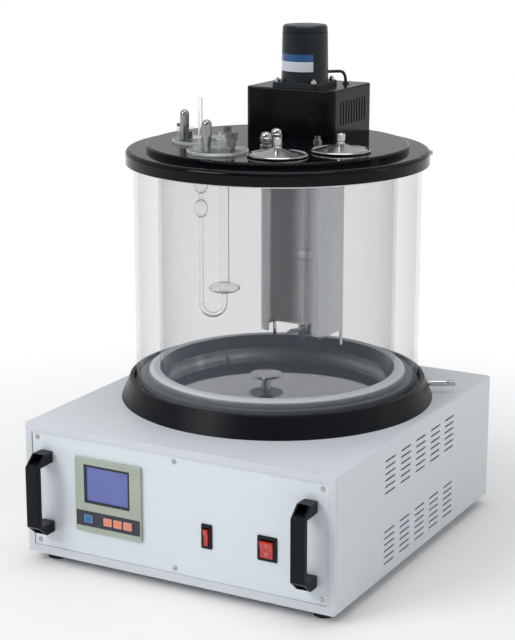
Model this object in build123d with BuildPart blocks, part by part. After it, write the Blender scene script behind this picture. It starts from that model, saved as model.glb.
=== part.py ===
"""Kinematic viscosity bath with one capillary viscometer: a double glass jar on a control cabinet.

Millimetres. X is the width (+X to the right of the front panel), Y the depth (+Y to the back),
Z is up. The origin is on the bench, under the middle of the overall footprint.
"""
import os
from math import acos, cos, radians, sin, tan

from build123d import *

os.makedirs("parts", exist_ok=True)

# Control cabinet
CABINET_W = 435.0
CABINET_D = 471.0
CABINET_H = 171.0
SHEET = 2.0
CORNER_R = 3.0
FRONT_BORDER = 10.5
PANEL_RECESS = 1.5
PANEL_T = 2.0
PANEL_GAP = 0.4
FLANGE_W = 14.0
PANEL_SCREW_INSET = 8.0
PANEL_SCREW_HEAD_D = 6.5
PANEL_SCREW_D = 3.4
REAR_FLANGE_W = 12.0
FOOT_H = 12.0
FOOT_D = 30.0
FOOT_INSET = 27.5
VENT_COLUMNS = 5
VENT_ROWS = 6
VENT_L = 29.5
VENT_SLOT_H = 2.6
VENT_PITCH_Y = 45.75
VENT_PITCH_Z = 8.2
VENT_FIRST_Y = 147.5
VENT_TOP_Z = 149.5
VENT_GROUP_DROP = 91.0

# Carrying handles on the front panel
HANDLE_INSET = 33.0
HANDLE_W = 18.5
HANDLE_H = 35.5
HANDLE_L = 105.0
HANDLE_PITCH = 91.8
HANDLE_ARM = 13.3
HANDLE_BAR = 7.5
HANDLE_SLOPE_Y = 17.0
HANDLE_SLOPE_Z = 14.5
HANDLE_WALL = 2.4
HANDLE_SCREW_D = 4.0
HANDLE_SCREW_HEAD_D = 7.5

# Temperature controller in the panel
METER_X = -93.5
METER_Z = 90.6
METER_SIDE = 96.0
METER_PROUD = 4.0
METER_CUTOUT = 91.0
METER_CASE_D = 78.0
METER_CASE_WALL = 2.0
WINDOW_W = 66.6
WINDOW_H = 50.2
WINDOW_X = -1.3
WINDOW_Z = 14.8
WINDOW_STEP = 3.0
STRIP_W = 93.0
STRIP_H = 20.3
STRIP_Z = -30.5
KEY_W = 12.0
KEY_H = 10.0
KEY_PROUD = 1.0
KEY_GAP = 0.4
KEY_TRAVEL = 0.7
KEY_DEPTH = 3.4
KEY_XS = (-28.7, -0.3, 14.2, 28.7)
KEY_NAMES = ("key_blue", "key_orange_1", "key_orange_2", "key_orange_3")

# Rocker switches
STIRRER_SWITCH_X = 45.3
STIRRER_SWITCH_W = 14.6
MAIN_SWITCH_X = 127.4
MAIN_SWITCH_W = 26.0
SWITCH_Z = 67.1
SWITCH_H = 31.0
SWITCH_FLANGE_T = 2.0
SWITCH_BORDER = 2.6
SWITCH_DEPTH = 22.0
SWITCH_WALL = 1.6
ROCKER_GAP = 0.45
ROCKER_R = 17.0
ROCKER_RISE = 3.2
ROCKER_TILT = 8.0
PIVOT_D = 3.0
PIVOT_GAP = 0.08
PIVOT_Y = 1.0

# Glass jar on the cabinet
BATH_FROM_FRONT = 262.6
BASE_RING_R = 203.8
RIM_R = 192.5
RIM_H = 27.5
GROOVE_OUT_R = 187.0
GROOVE_IN_R = 178.4
GROOVE_Z = 16.6
LEDGE_Z = 19.4
LEDGE_IN_R = 160.0
RING_WALL = 4.2
OUTER_GLASS_R = 184.0
OUTER_GLASS_T = 5.0
INNER_GLASS_R = 153.3
INNER_GLASS_T = 4.0
OUTER_SEAL_T = 2.0
GLASS_TOP_Z = 310.6
GLASS_GROOVE = 3.0
GLASS_GAP = 0.3
PAN_FLOOR_Z = 10.5
PAN_T = 2.0
PAN_R = 149.0
WHITE_RING_OUT_R = 168.7
WHITE_RING_H = 17.0
WHITE_RING_LOW = 9.5
GREY_RING_OUT_R = 178.0
GREY_RING_H = 7.6
FLOOR_CAP_X = -15.0
FLOOR_CAP_Y = -2.0
FLOOR_CAP_D = 45.7
FLOOR_CAP_H = 16.0
FLOOR_STEM_D = 13.0
DRAIN_ANGLE = 28.5
DRAIN_Z = 13.0
DRAIN_D = 8.0
DRAIN_SPIGOT_D = 4.4
DRAIN_TIP_R = 235.0
DRAIN_BORE_D = 3.0
DRAIN_NECK_L = 2.5

# Lid
LID_R = 193.5
LID_HOLE_R = 145.0
LID_RING_T = 17.5
LID_DISC_R = 167.1
LID_DISC_T = 6.8
PORT_SPOTS = ((109.8, -17.0), (113.0, -62.0), (112.4, -102.6), (96.2, -152.4))
PORT_R = 29.5
PORT_GAP = 0.5
SPIGOT_H = 4.5
LOCK_SCREW_ANGLES = (28.0, 152.0)
LOCK_SCREW_D = 4.0
LOCK_SCREW_HEAD_D = 7.0

# Stirrer
MOTOR_X = 0.5
MOTOR_FROM_FRONT = 336.0
MOTOR_R = 29.6
MOTOR_FLARE = 0.9
MOTOR_H = 72.7
MOTOR_FLANGE = 65.0
MOTOR_FLANGE_T = 7.0
MOTOR_NUT_PITCH = 52.0
HOUSING_X = -4.0
HOUSING_W = 127.5
HOUSING_D = 115.0
HOUSING_H = 63.5
HOUSING_T = 2.0
HOUSING_R = 8.0
HOUSING_SLOTS = 10
HOUSING_SLOT_PITCH = 7.85
HOUSING_SLOT_W = 3.0
HOUSING_SLOT_H = 30.0
HOUSING_SLOT_FIRST = 22.0
HOUSING_SLOT_Z = 17.5
SHAFT_D = 8.0
SHAFT_BOTTOM_Z = 57.0
SHAFT_HOLE_D = 14.0
MOTOR_SHAFT_D = 6.0
MOTOR_SHAFT_L = 16.0
COUPLING_D = 20.0
COUPLING_L = 30.0
PROPELLER_R = 24.0
PROPELLER_HUB_D = 14.0
PROPELLER_H = 12.0
BLADE_T = 1.6
BLADE_W = 15.0
BLADE_PITCH = 35.0
LEAD_D = 4.0

# Flow shroud, heater and probe inside the bath
SHROUD_X = 16.5
SHROUD_W = 100.0
SHROUD_FROM_FRONT = 266.0
SHROUD_SIDE = 48.0
SHROUD_REAR = 26.0
SHROUD_T = 1.2
SHROUD_R = 19.0
SHROUD_FRONT_Z = 98.0
SHROUD_SIDE_Z = 81.5
SHROUD_REAR_Z = 61.0
SHROUD_LIP_D = 3.6
HEATER_D = 8.0
HEATER_X = 44.0
HEATER_SPAN = 40.0
HEATER_BOTTOM_Z = 72.0
SENSOR_D = 6.0
SENSOR_X = -17.0
SENSOR_FROM_FRONT = 292.0
SENSOR_BOTTOM_Z = 150.0

# Port fittings on the lid
CONE_R = 37.5
CONE_RIM_H = 3.0
CONE_TOP_H = 9.5
CONE_T = 1.2
CONE_LIFT = 0.3
KNOB_D = 10.7
KNOB_H = 13.5
PLUG_SPOTS = ((8.0, 218.0), (4.0, 253.0))
PLUG_D = 16.0
PLUG_H = 19.7
HOLDER_R = 38.0
HOLDER_T = 4.0
HOLDER_BOSS_R = 28.5
LIFT_D = 11.4
LIFT_FOOT_D = 8.4
LIFT_H = 40.0

# Viscometer
ARM_ANGLE = 28.74
THIN_S = -21.0
WIDE_S = 7.5
THIN_R = 3.0
THIN_BORE = 1.9
WIDE_R = 6.2
WIDE_BORE = 5.1
BULB_R = 8.9
RESERVOIR_R = 19.8
RESERVOIR_H = 6.6
ARM_GAP = 0.3
THIN_TOP_Z = 398.7
WIDE_TOP_Z = 357.1
NECK_Z = 278.5
UPPER_BULB_Z = 292.0
LOWER_BULB_Z = 262.3
RESERVOIR_Z = 162.0
BEND_Z = 127.0

# Places worked out from the sizes above
HANDLE_X = CABINET_W / 2 - HANDLE_INSET
REAR_PROUD = 3.0
FRONT_Y = -(PANEL_RECESS - HANDLE_H + CABINET_D + REAR_PROUD) / 2
BACK_Y = FRONT_Y + CABINET_D
PANEL_Y = FRONT_Y + PANEL_RECESS
CABINET_Z = FOOT_H
CABINET_TOP = FOOT_H + CABINET_H
CABINET_MID = FOOT_H + CABINET_H / 2
PANEL_W = CABINET_W - 2 * FRONT_BORDER
PANEL_H = CABINET_H - 2 * FRONT_BORDER
BATH_Y = FRONT_Y + BATH_FROM_FRONT
GLASS_TOP = CABINET_TOP + GLASS_TOP_Z
LID_UNDER = GLASS_TOP - GLASS_GROOVE
RING_TOP = LID_UNDER + LID_RING_T
LID_TOP = RING_TOP + LID_DISC_T
MOTOR_Y = FRONT_Y + MOTOR_FROM_FRONT
HOUSING_Y = MOTOR_Y - 36.0 + HOUSING_D / 2
HOUSING_TOP = LID_TOP + HOUSING_H
MOTOR_BASE = HOUSING_TOP + MOTOR_FLANGE_T
SHROUD_Y = FRONT_Y + SHROUD_FROM_FRONT
SENSOR_Y = FRONT_Y + SENSOR_FROM_FRONT
HEATER_Y = MOTOR_Y - HEATER_SPAN / 2 - 8.0
DISC_TOP = LID_TOP + HOLDER_T
BRIM_TOP = CABINET_TOP + LEDGE_Z + PAN_T
PORTS = [(r * cos(radians(a)), BATH_Y + r * sin(radians(a))) for r, a in PORT_SPOTS]


def save(builder, name):
    """Label one finished piece and write its STEP file."""
    builder.part.label = name
    export_step(builder.part, f"parts/{name}.step")


def ring_profile(points):
    """A closed half-section in the XZ plane, for a revolve about the Z axis."""
    with BuildSketch(Plane.XZ) as section:
        with BuildLine():
            Polyline(*points, close=True)
        make_face()
    return section.sketch


def facing_front(x, y, z):
    """A plane whose normal points to the front, with its X axis along the row's X."""
    return Plane(origin=(x, y, z), x_dir=(1, 0, 0), z_dir=(0, -1, 0))


# Cabinet shell: top, two sides and a folded front frame, open below and behind
PANEL_SCREW_X = PANEL_W / 2 - PANEL_SCREW_INSET
PANEL_SCREW_Z = PANEL_H / 2 - PANEL_SCREW_INSET + 1.0
FRONT_SCREWS = [(x, z) for x in (-PANEL_SCREW_X, 0.0, PANEL_SCREW_X) for z in (-PANEL_SCREW_Z, PANEL_SCREW_Z)]
REAR_SCREW_X = CABINET_W / 2 - SHEET - REAR_FLANGE_W / 2
REAR_SCREWS = [(x, z) for x in (-REAR_SCREW_X, REAR_SCREW_X) for z in (-60.0, 60.0)]
REAR_Z = CABINET_MID - SHEET / 2
FRAME_D = PANEL_RECESS + PANEL_T + SHEET
CABINET_Y = (FRONT_Y + BACK_Y) / 2
with BuildPart() as cabinet_shell:
    with Locations((0, CABINET_Y, CABINET_MID)):
        Box(CABINET_W, CABINET_D, CABINET_H)
    outer_edges = cabinet_shell.edges().filter_by(Axis.Y) + cabinet_shell.edges().filter_by(Axis.Z).group_by(Axis.Y)[0]
    fillet(outer_edges, CORNER_R)
    cavity_d = CABINET_D - FRAME_D
    with Locations((0, BACK_Y - cavity_d / 2, CABINET_MID - SHEET / 2)):
        Box(CABINET_W - 2 * SHEET, cavity_d, CABINET_H - SHEET, mode=Mode.SUBTRACT)
    with BuildSketch(facing_front(0, FRONT_Y, CABINET_MID)):
        Rectangle(PANEL_W, PANEL_H)
    extrude(amount=-(PANEL_RECESS + PANEL_T), mode=Mode.SUBTRACT)
    with BuildSketch(facing_front(0, FRONT_Y, CABINET_MID)):
        Rectangle(PANEL_W - 2 * FLANGE_W, PANEL_H - 2 * FLANGE_W)
    extrude(amount=-FRAME_D, mode=Mode.SUBTRACT)
    with BuildSketch(facing_front(0, FRONT_Y + FRAME_D, CABINET_MID)):
        Rectangle(CABINET_W - 2 * SHEET, CABINET_H - 2 * SHEET)
        Rectangle(PANEL_W + 2 * SHEET, PANEL_H + 2 * SHEET, mode=Mode.SUBTRACT)
    extrude(amount=FRAME_D - SHEET, mode=Mode.SUBTRACT)
    with Locations((0, BACK_Y - PANEL_T - SHEET / 2, CABINET_MID)):
        with Locations((0, 0, CABINET_H / 2 - SHEET - REAR_FLANGE_W / 2)):
            Box(CABINET_W - 2 * SHEET, SHEET, REAR_FLANGE_W)
        for side in (-1, 1):
            with Locations((side * (CABINET_W / 2 - SHEET - REAR_FLANGE_W / 2), 0, 0)):
                Box(REAR_FLANGE_W, SHEET, CABINET_H - 2 * SHEET)
    for group in range(2):
        top_slot = CABINET_Z + VENT_TOP_Z - group * VENT_GROUP_DROP
        slot_z = top_slot - (VENT_ROWS - 1) * VENT_PITCH_Z / 2
        slot_y = FRONT_Y + VENT_FIRST_Y + (VENT_COLUMNS - 1) * VENT_PITCH_Y / 2
        for side in (-1, 1):
            side_plane = Plane(origin=(side * CABINET_W / 2, slot_y, slot_z), x_dir=(0, 1, 0), z_dir=(side, 0, 0))
            with BuildSketch(side_plane):
                with GridLocations(VENT_PITCH_Y, VENT_PITCH_Z, VENT_COLUMNS, VENT_ROWS):
                    SlotOverall(VENT_L, VENT_SLOT_H)
            extrude(amount=-2 * SHEET, both=True, mode=Mode.SUBTRACT)
    with BuildSketch(facing_front(0, FRONT_Y, CABINET_MID)):
        with Locations(*FRONT_SCREWS):
            Circle(PANEL_SCREW_D / 2)
    extrude(amount=-(FRAME_D + 1), mode=Mode.SUBTRACT)
    with BuildSketch(facing_front(0, BACK_Y, REAR_Z)):
        with Locations(*REAR_SCREWS):
            Circle(PANEL_SCREW_D / 2)
    extrude(amount=PANEL_T + SHEET + 1, mode=Mode.SUBTRACT)
save(cabinet_shell, "cabinet_shell")

# Base plate with turned-up hems between the side walls
PLATE_W = CABINET_W - 2 * SHEET - 2 * PANEL_GAP
PLATE_FRONT = FRONT_Y + FRAME_D + PANEL_GAP
PLATE_D = BACK_Y - PANEL_T - SHEET - PANEL_GAP - PLATE_FRONT
PLATE_Y = PLATE_FRONT + PLATE_D / 2
HEM_H = 14.0
FOOT_SPOTS = [(x, CABINET_Y + y) for x in (FOOT_INSET - CABINET_W / 2, CABINET_W / 2 - FOOT_INSET)
              for y in (FOOT_INSET - CABINET_D / 2, CABINET_D / 2 - FOOT_INSET)]
with BuildPart() as base_plate:
    with BuildSketch(Plane.XZ.offset(-(PLATE_FRONT + PLATE_D))):
        with BuildLine():
            Polyline((-PLATE_W / 2, CABINET_Z + HEM_H), (-PLATE_W / 2, CABINET_Z), (PLATE_W / 2, CABINET_Z),
                     (PLATE_W / 2, CABINET_Z + HEM_H), (PLATE_W / 2 - SHEET, CABINET_Z + HEM_H),
                     (PLATE_W / 2 - SHEET, CABINET_Z + SHEET), (SHEET - PLATE_W / 2, CABINET_Z + SHEET),
                     (SHEET - PLATE_W / 2, CABINET_Z + HEM_H), close=True)
        make_face()
    extrude(amount=PLATE_D)
    with BuildSketch(Plane.XY.offset(CABINET_Z)):
        with Locations(*FOOT_SPOTS):
            Circle(2.2)
    extrude(amount=SHEET, mode=Mode.SUBTRACT)
save(base_plate, "base_plate")

# Four rubber feet with a recess for their fixing screw
with BuildPart() as feet:
    with Locations(*[(x, y, 0) for x, y in FOOT_SPOTS]):
        Cone(FOOT_D / 2 - 2, FOOT_D / 2, FOOT_H, align=(Align.CENTER, Align.CENTER, Align.MIN))
        Cylinder(5.0, 5.0, align=(Align.CENTER, Align.CENTER, Align.MIN), mode=Mode.SUBTRACT)
        Cylinder(2.0, FOOT_H, align=(Align.CENTER, Align.CENTER, Align.MIN), mode=Mode.SUBTRACT)
save(feet, "feet")

# Front panel in its recess, with its cut-outs
METER_CENTRE_Z = CABINET_Z + METER_Z
SWITCH_CENTRE_Z = CABINET_Z + SWITCH_Z
SWITCHES = (("stirrer", STIRRER_SWITCH_X, STIRRER_SWITCH_W), ("main", MAIN_SWITCH_X, MAIN_SWITCH_W))
HANDLE_SCREWS = [(x, z) for x in (-HANDLE_X, HANDLE_X) for z in (-HANDLE_PITCH / 2, HANDLE_PITCH / 2)]
with BuildPart() as front_panel:
    with BuildSketch(facing_front(0, PANEL_Y, CABINET_MID)):
        Rectangle(PANEL_W - 2 * PANEL_GAP, PANEL_H - 2 * PANEL_GAP)
        with Locations((METER_X, METER_CENTRE_Z - CABINET_MID)):
            Rectangle(METER_CUTOUT, METER_CUTOUT, mode=Mode.SUBTRACT)
        for _, switch_x, switch_w in SWITCHES:
            with Locations((switch_x, SWITCH_CENTRE_Z - CABINET_MID)):
                Rectangle(switch_w - 2 * SWITCH_BORDER + 2 * PANEL_GAP, SWITCH_H - 2 * SWITCH_BORDER + 2 * PANEL_GAP,
                          mode=Mode.SUBTRACT)
        with Locations(*FRONT_SCREWS):
            Circle(PANEL_SCREW_D / 2, mode=Mode.SUBTRACT)
        with Locations(*HANDLE_SCREWS):
            Circle(HANDLE_SCREW_D / 2 + 0.2, mode=Mode.SUBTRACT)
    extrude(amount=-PANEL_T)
save(front_panel, "front_panel")

# Rear panel with louvre slots and the inlet cut-out
INLET_X = CABINET_W / 2 - 67.5
INLET_W = 48.0
INLET_H = 28.0
INLET_Z = CABINET_Z + 50.0
with BuildPart() as rear_panel:
    with BuildSketch(facing_front(0, BACK_Y - PANEL_T, REAR_Z)):
        Rectangle(CABINET_W - 2 * SHEET - 2 * PANEL_GAP, CABINET_H - SHEET - 2 * PANEL_GAP)
        with Locations((INLET_X, INLET_Z - REAR_Z)):
            Rectangle(INLET_W - 8, INLET_H - 6, mode=Mode.SUBTRACT)
        with Locations((-70, 10)):
            with GridLocations(VENT_PITCH_Y, VENT_PITCH_Z, 4, VENT_ROWS):
                SlotOverall(VENT_L, VENT_SLOT_H, mode=Mode.SUBTRACT)
        with Locations(*REAR_SCREWS):
            Circle(PANEL_SCREW_D / 2, mode=Mode.SUBTRACT)
    extrude(amount=-PANEL_T)
save(rear_panel, "rear_panel")

# Screws of the front and rear panels: a low domed head with a cross recess
HEAD_T = 1.2
with BuildPart() as panel_screws:
    for spots, origin_y, normal, mid_z in ((FRONT_SCREWS, PANEL_Y, -1, CABINET_MID),
                                           (REAR_SCREWS, BACK_Y, 1, REAR_Z)):
        for x, z in spots:
            face = Plane(origin=(x, origin_y, mid_z + z), x_dir=(1, 0, 0), z_dir=(0, normal, 0))
            with BuildSketch(face):
                Circle(PANEL_SCREW_HEAD_D / 2)
            extrude(amount=HEAD_T, taper=25)
            with BuildSketch(face):
                Circle(PANEL_SCREW_D / 2 - 0.2)
            extrude(amount=-(PANEL_T + SHEET + 4))
            with BuildSketch(face.offset(HEAD_T)):
                Rectangle(3.4, 0.7)
                Rectangle(0.7, 3.4)
            extrude(amount=-0.7, mode=Mode.SUBTRACT)
save(panel_screws, "panel_screws")


def carrying_handle(handle_x):
    """One moulded bow handle: two feet, sloped shoulders with screw pockets, and a bar."""
    half = HANDLE_L / 2
    reach = PANEL_Y - HANDLE_H
    side_plane = Plane(origin=(handle_x - HANDLE_W / 2, PANEL_Y, CABINET_MID), x_dir=(0, 1, 0), z_dir=(1, 0, 0))
    with BuildPart() as handle:
        with BuildSketch(side_plane):
            with BuildLine():
                Polyline((0, half), (HANDLE_SLOPE_Y - HANDLE_H, half), (-HANDLE_H, half - HANDLE_SLOPE_Z),
                         (-HANDLE_H, HANDLE_SLOPE_Z - half), (HANDLE_SLOPE_Y - HANDLE_H, -half), (0, -half),
                         (0, HANDLE_ARM - half), (HANDLE_BAR - HANDLE_H, HANDLE_ARM - half + 1.0),
                         (HANDLE_BAR - HANDLE_H, half - HANDLE_ARM - 1.0), (0, half - HANDLE_ARM), close=True)
            make_face()
        extrude(amount=HANDLE_W)
        bar_edges = handle.edges().filter_by(Axis.Z)
        fillet(bar_edges.group_by(Axis.Y)[-1], 3.0)
        fillet(handle.edges().filter_by(Axis.Z).group_by(Axis.Y)[0], 1.5)
        for end in (-1, 1):
            with BuildSketch(side_plane.offset(HANDLE_WALL)):
                with BuildLine():
                    Polyline((-HANDLE_WALL - 1.5, end * (half + 1)), (-HANDLE_WALL - 1.5, end * (half - HANDLE_ARM + 2.6)),
                             (HANDLE_BAR - HANDLE_H - 4.0, end * (half - HANDLE_ARM + 2.6)),
                             (-HANDLE_H - 2, end * (half - HANDLE_SLOPE_Z + 0.6)), (-HANDLE_H - 2, end * (half + 1)),
                             close=True)
                make_face()
                with BuildLine():
                    Polyline((1, end * (half - 2.4)), (-15.6, end * (half - 2.4)), (-19.6, end * (half + 2)),
                             (1, end * (half + 2)), close=True)
                make_face(mode=Mode.SUBTRACT)
            extrude(amount=HANDLE_W - 2 * HANDLE_WALL, mode=Mode.SUBTRACT)
            with BuildSketch(facing_front(handle_x, reach, CABINET_MID + end * HANDLE_PITCH / 2)):
                Circle(HANDLE_SCREW_D / 2 + 0.2)
            extrude(amount=-(HANDLE_H + 1), mode=Mode.SUBTRACT)
    return handle


for side, handle_x in (("left", -HANDLE_X), ("right", HANDLE_X)):
    save(carrying_handle(handle_x), f"handle_{side}")

# Handle screws, heads inside the pockets
with BuildPart() as handle_screws:
    for x, z in HANDLE_SCREWS:
        seat = facing_front(x, PANEL_Y - HANDLE_WALL - 1.5, CABINET_MID + z)
        with BuildSketch(seat):
            Circle(HANDLE_SCREW_HEAD_D / 2)
        extrude(amount=3.0, taper=8)
        with BuildSketch(seat):
            Circle(HANDLE_SCREW_D / 2)
        extrude(amount=-(HANDLE_WALL + 1.5 + PANEL_T + 5))
        with BuildSketch(seat.offset(3.0)):
            RegularPolygon(1.9, 6)
        extrude(amount=-1.8, mode=Mode.SUBTRACT)
save(handle_screws, "handle_screws")

# Controller bezel: a flat square frame with the window and the key strip recess
BEZEL_Y = PANEL_Y - METER_PROUD
METER_PLANE = facing_front(METER_X, BEZEL_Y, METER_CENTRE_Z)
STRIP_DEPTH = 1.4
with BuildPart() as meter_bezel:
    with BuildSketch(METER_PLANE):
        RectangleRounded(METER_SIDE, METER_SIDE, 1.5)
        with Locations((WINDOW_X, WINDOW_Z)):
            Rectangle(WINDOW_W, WINDOW_H, mode=Mode.SUBTRACT)
    extrude(amount=-METER_PROUD)
    with BuildSketch(METER_PLANE):
        with Locations((0, STRIP_Z)):
            Rectangle(STRIP_W, STRIP_H)
    extrude(amount=-STRIP_DEPTH, mode=Mode.SUBTRACT)
    with BuildSketch(METER_PLANE):
        with Locations(*[(x, STRIP_Z) for x in KEY_XS]):
            Rectangle(KEY_W - 2, KEY_H - 2)
    extrude(amount=-METER_PROUD, mode=Mode.SUBTRACT)
    chamfer(meter_bezel.edges().group_by(Axis.Y)[0].filter_by(GeomType.LINE).sort_by(Axis.Z)[-1], 0.6)
save(meter_bezel, "meter_bezel")

# Controller case behind the panel: an open-fronted box with slots above and terminals behind
CASE_SIDE = METER_CUTOUT - 1.0
with BuildPart() as meter_case:
    with BuildSketch(facing_front(METER_X, PANEL_Y, METER_CENTRE_Z)):
        Rectangle(CASE_SIDE, CASE_SIDE)
    extrude(amount=-METER_CASE_D)
    with BuildSketch(facing_front(METER_X, PANEL_Y, METER_CENTRE_Z)):
        Rectangle(CASE_SIDE - 2 * METER_CASE_WALL, CASE_SIDE - 2 * METER_CASE_WALL)
    extrude(amount=-(METER_CASE_D - METER_CASE_WALL), mode=Mode.SUBTRACT)
    with BuildSketch(Plane.XY.offset(METER_CENTRE_Z + CASE_SIDE / 2 - METER_CASE_WALL - 0.5)):
        with Locations((METER_X, PANEL_Y + METER_CASE_D / 2)):
            with GridLocations(1, 9.0, 1, 6):
                SlotOverall(60, 3)
    extrude(amount=METER_CASE_WALL + 1, mode=Mode.SUBTRACT)
    with BuildSketch(facing_front(METER_X, PANEL_Y + METER_CASE_D, METER_CENTRE_Z)):
        with GridLocations(30, 9.5, 2, 7):
            Rectangle(12, 6)
    extrude(amount=-5)
save(meter_case, "meter_case")

# Display: a dark stepped frame with its screen, and the board behind that carries the keys
with BuildPart() as meter_display:
    with BuildSketch(METER_PLANE.offset(-0.8)):
        with Locations((WINDOW_X, WINDOW_Z)):
            Rectangle(WINDOW_W - 0.4, WINDOW_H - 0.4)
    extrude(amount=-(METER_PROUD + 4.0))
    with BuildSketch(METER_PLANE.offset(-0.8)):
        with Locations((WINDOW_X, WINDOW_Z)):
            Rectangle(WINDOW_W - 2 * WINDOW_STEP, WINDOW_H - 2 * WINDOW_STEP)
    extrude(amount=-1.2, mode=Mode.SUBTRACT)
    with BuildSketch(facing_front(METER_X, PANEL_Y + 4.8, METER_CENTRE_Z)):
        Rectangle(CASE_SIDE - 2 * METER_CASE_WALL - 0.6, CASE_SIDE - 2 * METER_CASE_WALL - 0.6)
    extrude(amount=-1.6)
save(meter_display, "meter_display")

# Key strip set into the bezel, with one hole for each key
with BuildPart() as key_strip:
    with BuildSketch(METER_PLANE):
        with Locations((0, STRIP_Z)):
            Rectangle(STRIP_W - 0.4, STRIP_H - 0.4)
        with Locations(*[(x, STRIP_Z) for x in KEY_XS]):
            Rectangle(KEY_W + 2 * KEY_GAP, KEY_H + 2 * KEY_GAP, mode=Mode.SUBTRACT)
    extrude(amount=-STRIP_DEPTH)
save(key_strip, "key_strip")

# Keys: a cap in the strip on a plunger that goes back through the bezel
KEY_REAR_Y = BEZEL_Y + METER_PROUD + KEY_DEPTH
for key_x, key_name in zip(KEY_XS, KEY_NAMES):
    cap_plane = facing_front(METER_X + key_x, BEZEL_Y, METER_CENTRE_Z + STRIP_Z)
    with BuildPart() as key:
        with BuildSketch(cap_plane.offset(KEY_PROUD)):
            RectangleRounded(KEY_W, KEY_H, 1.0)
        extrude(amount=-(KEY_PROUD + STRIP_DEPTH - KEY_TRAVEL - 0.15))
        fillet(key.edges().group_by(Axis.Y)[0], 0.4)
        with BuildSketch(cap_plane):
            Rectangle(KEY_W - 3, KEY_H - 3)
        extrude(amount=-(METER_PROUD + KEY_DEPTH))
    save(key, key_name)


def switch_body(switch_x, switch_w):
    """A snap-in rocker switch body with its flange, wells and rear blades."""
    plane = facing_front(switch_x, PANEL_Y, SWITCH_CENTRE_Z)
    inner_w = switch_w - 2 * SWITCH_BORDER
    inner_h = SWITCH_H - 2 * SWITCH_BORDER
    with BuildPart() as body:
        with BuildSketch(plane):
            RectangleRounded(switch_w, SWITCH_H, 1.2)
        extrude(amount=SWITCH_FLANGE_T)
        chamfer(body.edges().group_by(Axis.Y)[0], 0.5)
        with BuildSketch(plane):
            Rectangle(inner_w, inner_h)
        extrude(amount=-SWITCH_DEPTH)
        with BuildSketch(plane.offset(SWITCH_FLANGE_T)):
            Rectangle(inner_w - 2 * SWITCH_WALL, inner_h - 2 * SWITCH_WALL)
        extrude(amount=-(SWITCH_FLANGE_T + SWITCH_DEPTH - 5), mode=Mode.SUBTRACT)
        pivot = Plane(origin=(switch_x, PANEL_Y + PIVOT_Y, SWITCH_CENTRE_Z), x_dir=(0, 1, 0), z_dir=(1, 0, 0))
        with BuildSketch(pivot):
            Circle(PIVOT_D / 2)
        extrude(amount=inner_w / 2, both=True)
        with BuildSketch(plane.offset(-SWITCH_DEPTH)):
            with GridLocations(1, 7.5, 1, 2):
                Rectangle(0.8, 4.8)
        extrude(amount=-9)
    return body


def rocker(switch_x, switch_w):
    """The paddle: two faces that meet in a shallow valley, on a bored hub round the pivot."""
    inner_w = switch_w - 2 * SWITCH_BORDER - 2 * SWITCH_WALL - 2 * ROCKER_GAP
    half_h = (SWITCH_H - 2 * SWITCH_BORDER - 2 * SWITCH_WALL) / 2 - ROCKER_GAP - 0.7
    side = Plane(origin=(switch_x, PANEL_Y + PIVOT_Y, SWITCH_CENTRE_Z), x_dir=(0, 1, 0), z_dir=(1, 0, 0))
    front = -(SWITCH_FLANGE_T + 1.0 + ROCKER_RISE)
    with BuildPart() as paddle:
        with BuildSketch(side):
            with BuildLine():
                Polyline((front, half_h), (front + 1.6, 0), (front, -half_h), (front + 4.2, -half_h + 0.4),
                         (2.6, -3.4), (2.6, 3.4), (front + 4.2, half_h - 0.4), close=True)
            make_face()
            Circle(PIVOT_D / 2 + 1.4)
            Circle(PIVOT_D / 2 + PIVOT_GAP, mode=Mode.SUBTRACT)
        extrude(amount=inner_w / 2, both=True)
        paddle.part = paddle.part.rotate(Axis((switch_x, PANEL_Y + PIVOT_Y, SWITCH_CENTRE_Z), (1, 0, 0)), ROCKER_TILT)
    return paddle


for switch_name, switch_x, switch_w in SWITCHES:
    save(switch_body(switch_x, switch_w), f"{switch_name}_switch_body")
    save(rocker(switch_x, switch_w), f"{switch_name}_rocker")

# Mains inlet in the rear panel
with BuildPart() as power_inlet:
    inlet_plane = Plane(origin=(INLET_X, BACK_Y, INLET_Z), x_dir=(-1, 0, 0), z_dir=(0, 1, 0))
    with BuildSketch(inlet_plane):
        RectangleRounded(INLET_W, INLET_H, 3)
    extrude(amount=REAR_PROUD)
    with BuildSketch(inlet_plane):
        Rectangle(INLET_W - 9, INLET_H - 7)
    extrude(amount=-20)
    with BuildSketch(inlet_plane.offset(REAR_PROUD)):
        Rectangle(24, 16.5)
    extrude(amount=-17, mode=Mode.SUBTRACT)
    with BuildSketch(inlet_plane.offset(-14)):
        with Locations((-7, -2), (0, 2), (7, -2)):
            Rectangle(2, 4)
    extrude(amount=12)
save(power_inlet, "power_inlet")

# Control board, transformer and relay stand on the base plate near the back
DECK_Z = CABINET_Z + SHEET
BOARD_W = 120.0
BOARD_X = 35.0 + BOARD_W / 2 - PLATE_W / 2
SINK_X = PLATE_W / 2 - 127.0
REAR_BAY_Y = BACK_Y - 78.0
with BuildPart() as control_board:
    with Locations((BOARD_X, REAR_BAY_Y, DECK_Z)):
        Box(BOARD_W, 0.75 * BOARD_W, 1.6, align=(Align.CENTER, Align.CENTER, Align.MIN))
    with BuildSketch(Plane.XY.offset(DECK_Z + 1.6)):
        with Locations((BOARD_X - 35, REAR_BAY_Y + 20), (BOARD_X - 35, REAR_BAY_Y - 15)):
            Circle(9)
        with Locations((BOARD_X, REAR_BAY_Y + 25), (BOARD_X + 25, REAR_BAY_Y - 20)):
            Rectangle(28, 16)
    extrude(amount=22)
    with BuildSketch(Plane.XY.offset(DECK_Z + 1.6)):
        with Locations((BOARD_X, REAR_BAY_Y - 15)):
            Rectangle(18, 18)
        with Locations((BOARD_X + 35, REAR_BAY_Y + 25)):
            Rectangle(30, 10)
    extrude(amount=9)
save(control_board, "control_board")

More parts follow.
